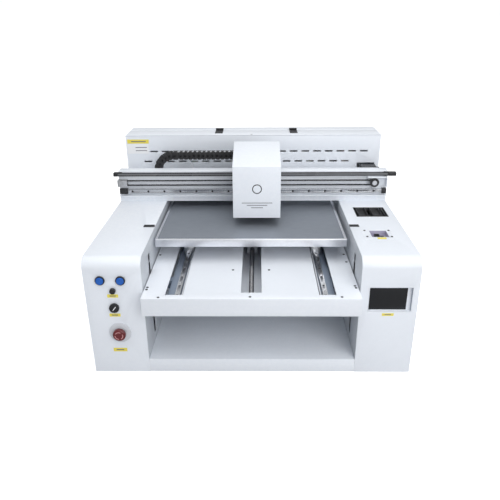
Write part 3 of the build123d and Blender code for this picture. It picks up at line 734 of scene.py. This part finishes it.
class UVP_OT_metalwork(bpy.types.Operator):
    """Finish the machined, plated and ground metal pieces"""

    bl_idname = "uvp.metalwork"
    bl_label = "Metalwork"

    def execute(self, context):
        dress("x_rail_blocks", "rail_across", 0.0006)
        dress("y_rail_blocks", "rail_along", 0.0006)
        self.dress_x_rail()
        self.dress_y_rails()
        for node in ("carriage_plate", "belt_clamp"):
            dress(node, "machined", 0.0005)
        dress("idler_bracket", "zinc", 0.002, 3)
        for node in ("table_carrier", "chain_bracket"):
            dress(node, "zinc", 0.0006)
        for node in ("welded_frame", "lift_drive"):
            recoat(node, "zinc")
        recoat("estop_stem", "zinc")
        return {"FINISHED"}

    def dress_x_rail(self):
        """The rail with its black end stops and a cap in each screw hole."""
        rail = dress("x_rail", "rail_across", 0.0006)
        low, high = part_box("x_rail")
        paint_faces(rail, "black", lambda c: c.x < RAIL_SPAN[0] or c.x > RAIL_SPAN[1])
        face = (low.y + high.y) / 2 - 0.005
        z = (low.z + high.z) / 2
        cap = bar("cap", 0.0039, (0, face, 0), (0, face + 0.003, 0), 24)
        inset_and_push(cap, -Y_AXIS, 0.0015, 0.0012)
        moves = [(HOLE_PITCH * (i - 0.5), 0, z) for i in range(-7, 9)]
        caps = row_of(ease(cap, 0.0002, 1), "x_rail_caps", moves)
        hand_over(caps, "black", "chassis", "black_plastic")

    def dress_y_rails(self):
        """Both table rails, the caps in their screw holes and the bright strip beside each."""
        dress("y_rails", "rail_along", 0.0006)
        low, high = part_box("y_rails")
        cap = bar("cap", 0.0039, (0, 0, high.z - 0.0042), (0, 0, high.z - 0.0012), 24)
        inset_and_push(cap, Z_AXIS, 0.0015, 0.0012)
        x = high.x - 0.0075
        moves = [(side * x, low.y + 0.033 + HOLE_PITCH * i, 0) for side in SIDES for i in range(12)]
        caps = row_of(ease(cap, 0.0002, 1), "y_rail_caps", moves)
        hand_over(caps, "black", "bed", "black_plastic")
        strips = []
        for side in SIDES:
            near, far = sorted((side * (x - 0.0165), side * (x - 0.0120)))
            strips.append(ease(block("strip", (near, low.y, low.z), (far, high.y, low.z + 0.009)), 0.0006, 2))
        hand_over(join("rail_strips", strips), "pale", "bed", "white_paint")


class UVP_OT_table(bpy.types.Operator):
    """Finish the print table: its grey face and bright edge"""

    bl_idname = "uvp.table"
    bl_label = "Print table"

    def execute(self, context):
        dress("table_top", "table_face", 0.0004)
        dress("table_frame", "table_edge", 0.0012, 3)
        return {"FINISHED"}


def threaded_rod(name, start, direction, length, radius, pitch, steps):
    """A rod with a rounded helical thread: one pitch of its profile, wound by a Screw modifier."""
    turns = int(length / pitch)
    root = radius * 0.84
    crest = radius * 0.96
    profile = ((root, 0), (root, 0.42), (crest, 0.54), (radius, 0.71), (crest, 0.88), (root, 1))
    clear_selection()
    bpy.ops.mesh.primitive_plane_add(size=pitch, location=(root, 0, 0))
    piece = settle(bpy.context.object, name)
    bpy.ops.object.mode_set(mode="EDIT")
    bpy.ops.mesh.select_mode(type="VERT")
    bpy.ops.mesh.select_all(action="SELECT")
    bpy.ops.mesh.merge(type="CENTER")
    for (r0, share0), (r1, share1) in zip(profile, profile[1:]):
        step = (r1 - r0, 0, (share1 - share0) * pitch)
        bpy.ops.mesh.extrude_vertices_move(TRANSFORM_OT_translate={"value": step})
    bpy.ops.object.mode_set(mode="OBJECT")
    select_only(piece)
    screw = piece.modifiers.new("wind", "SCREW")
    screw.axis = "Z"
    screw.screw_offset = pitch
    screw.iterations = turns
    screw.steps = steps
    screw.render_steps = steps
    screw.use_merge_vertices = True
    screw.merge_threshold = WELD
    bpy.ops.object.modifier_apply(modifier="wind")
    bpy.ops.object.mode_set(mode="EDIT")
    bpy.ops.mesh.select_all(action="SELECT")
    bpy.ops.mesh.remove_doubles(threshold=WELD)
    bpy.ops.mesh.normals_make_consistent(inside=False)
    bpy.ops.object.mode_set(mode="OBJECT")
    turn = direction.to_track_quat("Z", "Y").to_matrix().to_4x4()
    spare = (length - pitch * (turns + 1)) / 2
    piece.data.transform(Matrix.Translation(start + direction * spare) @ turn)
    ends = [
        bar(name, root * 0.995, start, start + direction * (spare + pitch), 24),
        bar(name, root * 0.995, start + direction * (length - spare - pitch), start + direction * length, 24),
    ]
    for end in ends:
        ease(end, 0.0004)
    select_only(piece)
    bpy.ops.object.shade_smooth_by_angle(angle=math.radians(50))
    return join(name, [piece, *ends])


class UVP_OT_screws(bpy.types.Operator):
    """Cut the threads of the table screw and the two lift screws"""

    bl_idname = "uvp.screws"
    bl_label = "Lead screws"

    def execute(self, context):
        drive = settings("uvp_drive")
        low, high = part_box("y_screw")
        start = Vector(((low.x + high.x) / 2, low.y, (low.z + high.z) / 2))
        rod = threaded_rod(
            "table_screw", start, Y_AXIS, high.y - low.y, (high.x - low.x) / 2,
            drive.table_screw_lead, drive.turn_steps,
        )
        hand_over(rod, "screw_steel", "y_screw", "bright_steel", "y_screw")
        for side in ("left", "right"):
            node = "lift_screw_" + side
            low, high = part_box(node)
            start = Vector(((low.x + high.x) / 2, (low.y + high.y) / 2, low.z))
            rod = threaded_rod(
                "lift_thread_" + side, start, Z_AXIS, high.z - low.z, (high.x - low.x) / 2,
                drive.lift_screw_lead, drive.turn_steps,
            )
            hand_over(rod, "lift_steel", node, "bright_steel", node)
        return {"FINISHED"}


def pulley_centres():
    """The belt pulleys' axes, from the belt's ends."""
    low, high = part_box("x_belt")
    radius = (high.z - low.z) / 2
    z = (high.z + low.z) / 2
    return Vector((low.x + radius, 0, z)), Vector((high.x - radius, 0, z)), radius


class UVP_OT_belt_drive(bpy.types.Operator):
    """Model the toothed belt and its two pulleys"""

    bl_idname = "uvp.belt_drive"
    bl_label = "Belt drive"

    def execute(self, context):
        self.make_belt()
        self.make_pulley("drive_pulley", 1)
        self.make_pulley("idler_pulley", 0)
        return {"FINISHED"}

    def make_belt(self):
        """The band, and a row of teeth on the inside of each straight run."""
        dress("x_belt", "belt", 0.0002, 1)
        low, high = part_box("x_belt")
        left, right, outer = pulley_centres()
        pitch = settings("uvp_drive").tooth_pitch
        inner = outer - 0.002
        run = right.x - left.x
        count = int(run / pitch)
        teeth = []
        for side in SIDES:
            z = left.z + side * inner
            tip = z - side * 0.0014
            tooth = block(
                "tooth", (left.x, low.y + 0.0004, min(z, tip)),
                (left.x + pitch * 0.5, high.y - 0.0004, max(z, tip)),
            )
            repeat = tooth.modifiers.new("repeat", "ARRAY")
            repeat.use_relative_offset = False
            repeat.use_constant_offset = True
            repeat.constant_offset_displace = (pitch, 0, 0)
            repeat.count = count
            bpy.ops.object.modifier_apply(modifier="repeat")
            teeth.append(tooth)
        belt_teeth = join("belt_teeth", teeth)
        hand_over(belt_teeth, "belt", "chassis", "black_rubber")

    def make_pulley(self, node, end):
        """A toothed pulley between two flanges; the driven one also has a boss and a shaft."""
        low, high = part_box(node)
        axis = pulley_centres()[end]
        belt_low, belt_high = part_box("x_belt")
        centre = Vector((axis.x, 0, axis.z))
        near, far = belt_low.y - BELT_CLEAR, belt_high.y + BELT_CLEAR

        def disc(name, radius, y0, y1, sides):
            return bar(name, radius, centre + Y_AXIS * y0, centre + Y_AXIS * y1, sides)

        parts = [disc(node, 0.0066, near, far, 36)]
        tooth = block(
            "tooth", (centre.x - 0.0006, belt_low.y, centre.z),
            (centre.x + 0.0006, belt_high.y, centre.z + 0.0078),
        )
        for i in range(16):
            turn = Matrix.Rotation(math.tau * i / 16, 4, "Y")
            parts.append(copy_at(tooth, Matrix.Translation(centre) @ turn @ Matrix.Translation(-centre)))
        remove(tooth)
        if node == "drive_pulley":
            front = disc("flange", 0.0168, low.y, near, 64)
            front.data.transform(Matrix.Translation((0, 0.0035, 0)))
            select_only(front)
            front.data.transform(
                Matrix.Translation((0, belt_low.y - 0.0013, 0)) @ Matrix.Diagonal((1, 0.3, 1, 1))
                @ Matrix.Translation((0, -(belt_low.y - 0.0013), 0))
            )
            rear = disc("flange", 0.0128, far, belt_high.y + 0.0022, 48)
            boss = disc("boss", 0.0085, low.y + 0.001, near, 40)
            inset_and_push(boss, -Y_AXIS, 0.003, 0.0008)
            shaft = disc("shaft", 0.0039, low.y, high.y, 24)
            parts += [front, rear, boss, shaft]
        else:
            for y in (low.y, high.y - 0.0012):
                parts.append(disc("flange", 0.0079, y, y + 0.0012, 40))
        for part in parts:
            ease(part, 0.0002, 1)
        pulley = join(node + "_finished", parts)
        hand_over(pulley, "machined", node, "bright_steel", node)
        if node == "drive_pulley":
            ring = 0.0092
            paint_faces(pulley, "black", lambda c: math.hypot(c.x - centre.x, c.z - centre.z) > ring)


class UVP_OT_drag_chain(bpy.types.Operator):
    """Build the drag chain link by link, its two runs and its bend"""

    bl_idname = "uvp.drag_chain"
    bl_label = "Drag chain"

    def execute(self, context):
        chain = settings("uvp_chain")
        run_low, run_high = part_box("chain_upper_run")
        self.y0, self.y1 = run_low.y, run_high.y
        self.height = run_high.z - run_low.z
        bend_low, bend_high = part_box("chain_bend")
        outer = (bend_high.z - bend_low.z) / 2
        centre = Vector((bend_high.x, 0, (bend_high.z + bend_low.z) / 2))
        mean = outer - self.height / 2
        link = self.make_link(chain.pitch, chain.wall)

        def straight(name, x0, x1, z, flip):
            count = max(1, round((x1 - x0) / chain.pitch))
            step = (x1 - x0) / count
            moves = []
            for i in range(count):
                scale = Matrix.Diagonal((step / chain.pitch, 1, flip, 1))
                moves.append(Matrix.Translation((x0 + step * (i + 0.5), 0, z)) @ scale)
            piece = join(name, [copy_at(link, move) for move in moves])
            if flip < 0:
                self.turn_out(piece)
            return piece

        top_z = run_high.z - self.height / 2
        low_z = bend_low.z + self.height / 2
        upper = straight("chain_upper_links", run_low.x, run_high.x, top_z, 1)
        end_low, end_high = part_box("chain_upper_end")
        end = straight("chain_end_links", end_low.x, end_high.x, top_z, 1)
        low_low, low_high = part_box("chain_lower_run")
        lower = straight("chain_lower_links", low_low.x, low_high.x, low_z, -1)
        count = round(math.pi * mean / chain.pitch)
        bend_links = []
        for i in range(count):
            angle = -math.pi * (i + 0.5) / count
            turn = Matrix.Rotation(angle, 4, "Y")
            squeeze = Matrix.Diagonal((math.pi * mean / count / chain.pitch, 1, 1, 1))
            place = Matrix.Translation(centre) @ turn @ Matrix.Translation((0, 0, mean))
            bend_links.append(copy_at(link, place @ squeeze))
        bend = join("chain_bend_links", bend_links)
        remove(link)
        hand_over(end, "chain", "chain_upper_end", "black_plastic", "chain_upper_end")
        hand_over(bend, "chain", "chain_bend", "black_plastic", "chain_bend")
        for piece, near, far, node, start_x, end_x in (
            (upper, "carriage", "chain_upper_end", "chain_upper_run", run_high.x - 0.06, run_low.x),
            (lower, "chassis", "chain_bend", "chain_lower_run", low_high.x, low_low.x),
        ):
            piece.data.materials.clear()
            piece.data.materials.append(finish_named("chain"))
            z = top_z if near == "carriage" else low_z
            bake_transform(piece)
            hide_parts(node)
            first, last = sorted((start_x, end_x))
            strip = self.make_liner(node + "_liner", first, last, z, 1 if near == "carriage" else -1)
            strip.data.materials.append(finish_named("cable"))
            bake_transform(strip)
        end_strip = self.make_liner("chain_end_liner", end_low.x, end_high.x, top_z, 1)
        hand_over(end_strip, "cable", "chain_upper_end", "black_plastic")
        self.make_bend_liner(centre, outer)
        return {"FINISHED"}

    def turn_out(self, piece):
        edit_all(piece)
        bpy.ops.mesh.normals_make_consistent(inside=False)
        bpy.ops.object.mode_set(mode="OBJECT")

    def make_link(self, pitch, wall):
        """One link about the origin: two cranked side plates, and a bar above and below."""
        half_h = self.height / 2
        parts = []
        for side in SIDES:
            outside = self.y1 if side > 0 else self.y0
            inside = outside - side * wall
            low, high = min(outside, inside), max(outside, inside)
            plate = block("plate", (-pitch * 0.5, low, -half_h + 0.001), (pitch * 0.30, high, half_h - 0.0005))
            ease(plate, 0.0022, 2)
            step = -side * wall
            tongue = block(
                "tongue", (pitch * 0.05, low + step, -half_h + 0.003),
                (pitch * 0.72, high + step, half_h - 0.002),
            )
            ease(tongue, 0.0022, 2)
            pin = bar("pin", 0.0042, (-pitch * 0.28, inside, 0), (-pitch * 0.28, outside, 0), 16)
            parts += [plate, tongue, pin]
        for z0, z1 in ((half_h - 0.0030, half_h), (-half_h, -half_h + 0.0030)):
            rung = block(
                "rung", (-pitch * 0.38, self.y0 + wall * 0.6, z0), (pitch * 0.20, self.y1 - wall * 0.6, z1)
            )
            ease(rung, 0.0008, 2)
            parts.append(rung)
        return join("link", parts)

    def make_liner(self, name, x0, x1, z, side):
        """A pale strip just inside the rungs of a straight run: a painted highlight that shows between the
        rungs.
        """
        outside = z + side * (self.height / 2 - HIGHLIGHT_STRIP[0])
        inside = z + side * (self.height / 2 - HIGHLIGHT_STRIP[1])
        low, high = sorted((outside, inside))
        strip = block(name, (x0, self.y0 + 0.0048, low), (x1, self.y1 - 0.0120, high))
        edit_all(strip)
        bpy.ops.mesh.subdivide(number_cuts=6)
        bpy.ops.object.mode_set(mode="OBJECT")
        return ease(strip, 0.0002, 1)

    def make_bend_liner(self, centre, outer):
        """The same pale strip, a painted highlight, carried round the bend."""
        clear_selection()
        bpy.ops.mesh.primitive_plane_add(
            size=1, rotation=(0, math.pi / 2, 0),
            location=(centre.x, (self.y0 + self.y1) / 2, centre.z - outer + (HIGHLIGHT_STRIP[0] + HIGHLIGHT_STRIP[1]) / 2),
        )
        strip = bpy.context.object
        strip.scale = (HIGHLIGHT_STRIP[1] - HIGHLIGHT_STRIP[0], self.y1 - self.y0 - 0.0096, 1)
        settle(strip, "chain_bend_liner")
        spin_round(strip, centre, HIGHLIGHT_STRIP_ARC, 32)
        hand_over(strip, "cable", "chain_bend", "black_plastic")


class UVP_OT_plastics(bpy.types.Operator):
    """Finish the black mouldings: holders, motors, heads, hinges and tanks"""

    bl_idname = "uvp.plastics"
    bl_label = "Mouldings"

    def execute(self, context):
        for node in (
            "encoder_strip_holders", "print_heads", "uv_lamp", "x_motor", "y_motor",
            "lid_hinge_fixed_leaves", "lid_hinge_moving_leaves", "power_inlet", "station_tray",
        ):
            dress(node, "black", 0.0007)
        recoat("encoder_strip", "strip")
        dress("cap_block", "cap", 0.001)
        dress("ink_tanks", "tank", 0.003, 3)
        recoat("electronics", "board")
        return {"FINISHED"}


class UVP_OT_controls(bpy.types.Operator):
    """Finish the push buttons, knobs and the emergency stop"""

    bl_idname = "uvp.controls"
    bl_label = "Front controls"

    def execute(self, context):
        for node in ("blue_button_left", "blue_button_right"):
            dress(node, "blue", 0.0003)
        dress("estop_head", "red", 0.0008, 3)
        dress("speed_knob", "black", 0.0006)
        selector = dress("selector_knob", "black", 0.001, 3)
        self.turn_selector(selector, self.make_pointer())
        self.make_stop_ring()
        bodies = dress("control_bodies", "black", 0.0005)
        low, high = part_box("estop_head")
        stop = (low + high) / 2
        paint_faces(bodies, "pale", lambda c: c.y < self.face() and 0.0106 < self.away(c, stop) < 0.0345)
        return {"FINISHED"}

    def face(self):
        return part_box("left_pod_cover")[0].y

    def away(self, point, centre):
        return math.hypot(point.x - centre.x, point.z - centre.z)

    def make_pointer(self):
        """The white line inlaid along the selector's grip."""
        low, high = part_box("selector_knob")
        x = (low.x + high.x) / 2
        z = (low.z + high.z) / 2
        line = block(
            "selector_line", (x - 0.0011, low.y - 0.0002, z - 0.004), (x + 0.0011, low.y + 0.0006, z + 0.0115)
        )
        ease(line, 0.0001, 1)
        return hand_over(line, "white_label", "selector_knob", "black_plastic")

    def turn_selector(self, *pieces):
        """The selector stands turned to the right of upright."""
        low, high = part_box("selector_knob")
        centre = (low + high) / 2
        turn = Matrix.Rotation(SELECTOR_TURN, 4, "Y")
        for piece in pieces:
            piece.data.transform(Matrix.Translation(centre) @ turn @ Matrix.Translation(-centre))

    def make_stop_ring(self):
        """The pale ring printed round the mushroom's face, in three arcs."""
        low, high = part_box("estop_head")
        centre = Vector(((low.x + high.x) / 2, low.y + 0.0002, (low.z + high.z) / 2))
        arcs = []
        for i in range(3):
            clear_selection()
            bpy.ops.mesh.primitive_plane_add(size=1, location=(0.0118, 0, 0))
            arc = bpy.context.object
            arc.scale = (0.0024, 0.0008, 1)
            settle(arc, "arc")
            arc.data.transform(Matrix.Rotation(math.radians(120 * i + 60), 4, "Y"))
            arc.data.transform(Matrix.Translation(centre))
            spin_round(arc, centre, math.radians(86), 16)
            arcs.append(arc)
        hand_over(join("stop_ring", arcs), "stop_print", "estop_head", "red_plastic")


class UVP_OT_display(bpy.types.Operator):
    """Finish the display's bezel and screen"""

    bl_idname = "uvp.display"
    bl_label = "Display"

    def execute(self, context):
        bezel = dress("display_bezel", "paint", 0.0006)
        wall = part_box("display_bezel")[1].x - 0.0012
        # the recess's right inner wall is made dark blue-grey: painted shade
        paint_faces(bezel, "frame_paint", lambda c: abs(c.x - wall) < 0.0001)
        dress("display_screen", "screen", 0.0006)
        return {"FINISHED"}


class UVP_OT_labels(bpy.types.Operator):
    """Stick on the blank yellow and white labels and the hood's plain mark"""

    bl_idname = "uvp.labels"
    bl_label = "Labels"

    def execute(self, context):
        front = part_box("left_pod_cover")[0].y
        for i, (x, z, w, h) in enumerate(
            ((-0.4165, 0.2745, 0.033, 0.011), (-0.4165, 0.2085, 0.034, 0.011), (-0.4125, 0.083, 0.043, 0.013),
             (0.4130, 0.2110, 0.036, 0.009))
        ):
            self.label(f"front_label_{i + 1}", (x, z), (w, h), front, "label")
            self.label(f"front_label_{i + 1}_bar", (x, z), (w * 0.55, h * 0.28), front - FILM, "bars")
        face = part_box("rear_housing")[0].y
        self.label("housing_label_yellow", (-0.4515, 0.586), (0.085, 0.016), face, "label")
        self.label("housing_label_bar", (-0.4500, 0.586), (0.058, 0.0035), face - FILM, "bars")
        self.label("housing_label_white", (-0.4540, 0.556), (0.084, 0.036), face, "white_label")
        for i, z in enumerate((0.5625, 0.5500)):
            self.label(f"housing_label_bar_{i + 1}", (-0.4405, z), (0.045, 0.0028), face - FILM, "bars")
        self.port_label()
        self.hood_mark()
        return {"FINISHED"}

    def label(self, name, centre, size, face, finish, body="chassis"):
        """A thin film on a face that looks to the front."""
        x, z = centre
        half_w, half_h = size[0] / 2, size[1] / 2
        film = block(name, (x - half_w, face - FILM, z - half_h), (x + half_w, face, z + half_h))
        ease(film, 0.0001, 1)
        hand_over(film, finish, body, "white_paint")

    def port_label(self):
        low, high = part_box("port_panel")
        film = block("port_label", (0.397, low.y + 0.0015, high.z), (0.425, low.y + 0.0150, high.z + 0.0003))
        ease(film, 0.0001, 1)
        hand_over(film, "label", "chassis", "white_paint")

    def hood_mark(self):
        """A plain ring and three plain bars printed on the hood's front."""
        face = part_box("carriage_cover")[0].y
        clear_selection()
        bpy.ops.mesh.primitive_plane_add(size=1, location=(0.0150, 0, 0))
        ring = bpy.context.object
        ring.scale = (0.0032, 0.0003, 1)
        settle(ring, "hood_ring")
        centre = Vector((0.017, face - 0.00015, 0.505))
        ring.data.transform(Matrix.Translation(centre))
        spin_round(ring, centre, math.tau, 48)
        hand_over(ring, "print", "carriage", "white_paint")
        for i, (width, z) in enumerate(((0.104, 0.4560), (0.070, 0.4475), (0.040, 0.4390))):
            self.label(f"hood_bar_{i + 1}", (0.017, z), (width, 0.0024), face, "bars", "carriage")


def pan_screw(name, radius, height):
    """A pan head with a recess, looking along +Z from the origin."""
    head = bar(name, radius, (0, 0, 0), (0, 0, height), 20)
    inset_and_push(head, Z_AXIS, radius * 0.5, height * 0.5)
    return ease(head, height * 0.25, 1)


class UVP_OT_fasteners(bpy.types.Operator):
    """Place the visible screws on the bed, the port panel and the lid, and make the table sensors and port
    sockets
    """

    bl_idname = "uvp.fasteners"
    bl_label = "Fasteners"

    def execute(self, context):
        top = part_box("deck_tray")[1].z
        spots = [(x, y, top) for x, y in BED_SCREWS]
        piece = row_of(pan_screw("screw", 0.0040, 0.0012), "bed_screws", spots)
        hand_over(piece, "dark_metal", "bed", "bright_steel")
        port_low, port_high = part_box("port_panel")
        spots = [
            (x, y, port_high.z)
            for x in (port_low.x + 0.011, port_high.x - 0.009)
            for y in (port_low.y + 0.021, port_high.y - 0.011)
        ]
        piece = row_of(pan_screw("screw", 0.0036, 0.0014), "port_screws", spots)
        hand_over(piece, "black", "chassis", "bright_steel")
        lid_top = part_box("rear_lid")[1].z
        piece = row_of(pan_screw("screw", 0.0042, 0.0012), "lid_screw", [(-0.005, 0.2785, lid_top)])
        hand_over(piece, "zinc", "lid", "bright_steel")
        self.make_sensors()
        self.make_sockets()
        return {"FINISHED"}

    def make_sensors(self):
        """The black table sensor below the slot in each pod's top."""
        sensors = []
        for node, side, gap, reach in (
            ("left_inner_wall", -1, 0.0005, 0.0360), ("right_inner_wall", 1, -0.0015, 0.0300),
        ):
            low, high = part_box(node)
            x = low.x if side < 0 else high.x
            near, far = sorted((x + side * 0.0005, x + side * 0.0240))
            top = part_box("left_pod_cover")[1].z
            sensor = block("sensor", (near, -0.1625, top - 0.016), (far, -0.1475, top - 0.0005))
            inset_and_push(sensor, Z_AXIS, 0.003, 0.004)
            sensors.append(ease(sensor, 0.0006, 2))
            near, far = sorted((x + side * gap, x + side * reach))
            rim = block("rim", (near, -0.1650, top), (far, -0.1450, top + 0.0012))
            inset_and_push(rim, Z_AXIS, 0.004, 0.0009)
            sensors.append(ease(rim, 0.0003, 1))
        hand_over(join("table_sensors", sensors), "black", "chassis", "black_plastic")

    def make_sockets(self):
        """Two black sockets on the floor of the port recess."""
        low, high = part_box("port_panel")
        floor = low.z + 0.002
        sockets = []
        for x, y, w, d in ((0.4035, -0.2235, 0.016, 0.020), (0.4165, -0.2350, 0.013, 0.010)):
            socket = block("socket", (x - w / 2, y - d / 2, floor), (x + w / 2, y + d / 2, floor + 0.007))
            inset_and_push(socket, Z_AXIS, 0.0018, 0.005)
            sockets.append(ease(socket, 0.0005, 2))
        hand_over(join("port_sockets", sockets), "black", "chassis", "black_plastic")


class UVP_OT_studio(bpy.types.Operator):
    """Set the floor, the lights and the camera"""

    bl_idname = "uvp.studio"
    bl_label = "Studio"

    def execute(self, context):
        self.make_floor()
        self.make_lights()
        self.make_camera()
        return {"FINISHED"}

    def make_floor(self):
        clear_selection()
        bpy.ops.mesh.primitive_plane_add(size=120, location=(0, 0, CAD_BOX[0].z - 0.0005))
        floor = settle(bpy.context.object, "floor")
        finish = coated("floor_paper", (0.5, 0.5, 0.51), 0.7, 0.005, 0.0, 300.0, 0.02)
        finish.constants(emission_color=(1, 1, 1, 1))
        rays = finish.tree.nodes.new("ShaderNodeLightPath")
        finish.link(rays.outputs["Is Camera Ray"], "Emission Strength")
        floor.data.materials.append(finish.material)

    def make_lights(self):
        studio = settings("uvp_studio")
        for name, place, target, size, power in (
            ("overhead", (0, -0.5, 3.2), (0, 0, 0.3), 3.6, studio.key_power),
            ("front", (1.5, -3.4, 1.9), (0, 0, 0.3), 2.8, studio.fill_power),
            ("left", (-3.2, -0.6, 1.6), (0, 0, 0.3), 2.0, studio.side_power),
            ("right", (3.2, -0.6, 1.6), (0, 0, 0.3), 2.0, studio.side_power),
        ):
            lamp = bpy.data.lights.new(name, "AREA")
            lamp.shape = "SQUARE"
            lamp.size = size
            lamp.energy = power
            light = bpy.data.objects.new(name, lamp)
            light.location = place
            aim = Vector(target) - Vector(place)
            light.rotation_euler = aim.to_track_quat("-Z", "Y").to_euler()
            bpy.context.scene.collection.objects.link(light)
        world = bpy.data.worlds.new("studio")
        world.use_nodes = True
        background = world.node_tree.nodes["Background"]
        background.inputs["Color"].default_value = (0.96, 0.98, 1.0, 1)
        background.inputs["Strength"].default_value = 0.5
        backdrop = world.node_tree.nodes.new("ShaderNodeBackground")
        backdrop.inputs["Color"].default_value = (1, 1, 1, 1)
        backdrop.inputs["Strength"].default_value = 1.02
        rays = world.node_tree.nodes.new("ShaderNodeLightPath")
        mixer = world.node_tree.nodes.new("ShaderNodeMixShader")
        links = world.node_tree.links
        links.new(rays.outputs["Is Camera Ray"], mixer.inputs["Fac"])
        links.new(background.outputs[0], mixer.inputs[1])
        links.new(backdrop.outputs[0], mixer.inputs[2])
        links.new(mixer.outputs[0], world.node_tree.nodes["World Output"].inputs["Surface"])
        bpy.context.scene.world = world
        bpy.context.scene.view_settings.view_transform = "Standard"

    def make_camera(self):
        studio = settings("uvp_studio")
        camera = bpy.data.cameras.new("camera")
        camera.lens = studio.lens
        camera.sensor_width = 36
        stand = bpy.data.objects.new("camera", camera)
        stand.location = studio.place
        turn = (
            Matrix.Rotation(studio.yaw, 4, "Z")
            @ Matrix.Rotation(math.pi / 2 - studio.pitch, 4, "X")
            @ Matrix.Rotation(studio.roll, 4, "Z")
        )
        stand.rotation_euler = turn.to_euler()
        bpy.context.scene.collection.objects.link(stand)
        bpy.context.scene.camera = stand


STEPS = (
    UVP_OT_studio, UVP_OT_covers, UVP_OT_metalwork, UVP_OT_table, UVP_OT_screws, UVP_OT_belt_drive,
    UVP_OT_drag_chain, UVP_OT_plastics, UVP_OT_controls, UVP_OT_display, UVP_OT_labels, UVP_OT_fasteners,
)


class UVP_PT_panel(bpy.types.Panel):
    """Shows the printer's settings and a button for each step in the sidebar"""

    bl_label = "Flatbed UV printer"
    bl_space_type = "VIEW_3D"
    bl_region_type = "UI"
    bl_category = "UV Printer"

    def draw(self, context):
        for group in ("uvp_finish", "uvp_chain", "uvp_drive", "uvp_studio"):
            box = self.layout.box()
            values = getattr(context.scene, group)
            for name in values.bl_rna.properties.keys():
                if name not in ("rna_type", "name"):
                    box.prop(values, name)
        for step in STEPS:
            self.layout.operator(step.bl_idname)


GROUPS = {
    "uvp_finish": FinishSettings,
    "uvp_chain": ChainSettings,
    "uvp_drive": DriveSettings,
    "uvp_studio": StudioSettings,
}


def register():
    for cls in (*GROUPS.values(), *STEPS, UVP_PT_panel):
        bpy.utils.register_class(cls)
    for name, cls in GROUPS.items():
        setattr(bpy.types.Scene, name, PointerProperty(type=cls))


def unregister():
    for name in GROUPS:
        delattr(bpy.types.Scene, name)
    for cls in (UVP_PT_panel, *reversed(STEPS), *reversed(GROUPS.values())):
        bpy.utils.unregister_class(cls)


def main():
    register()
    for step in STEPS:
        area, name = step.bl_idname.split(".")
        getattr(getattr(bpy.ops, area), name)()


if __name__ == "__main__":
    main()
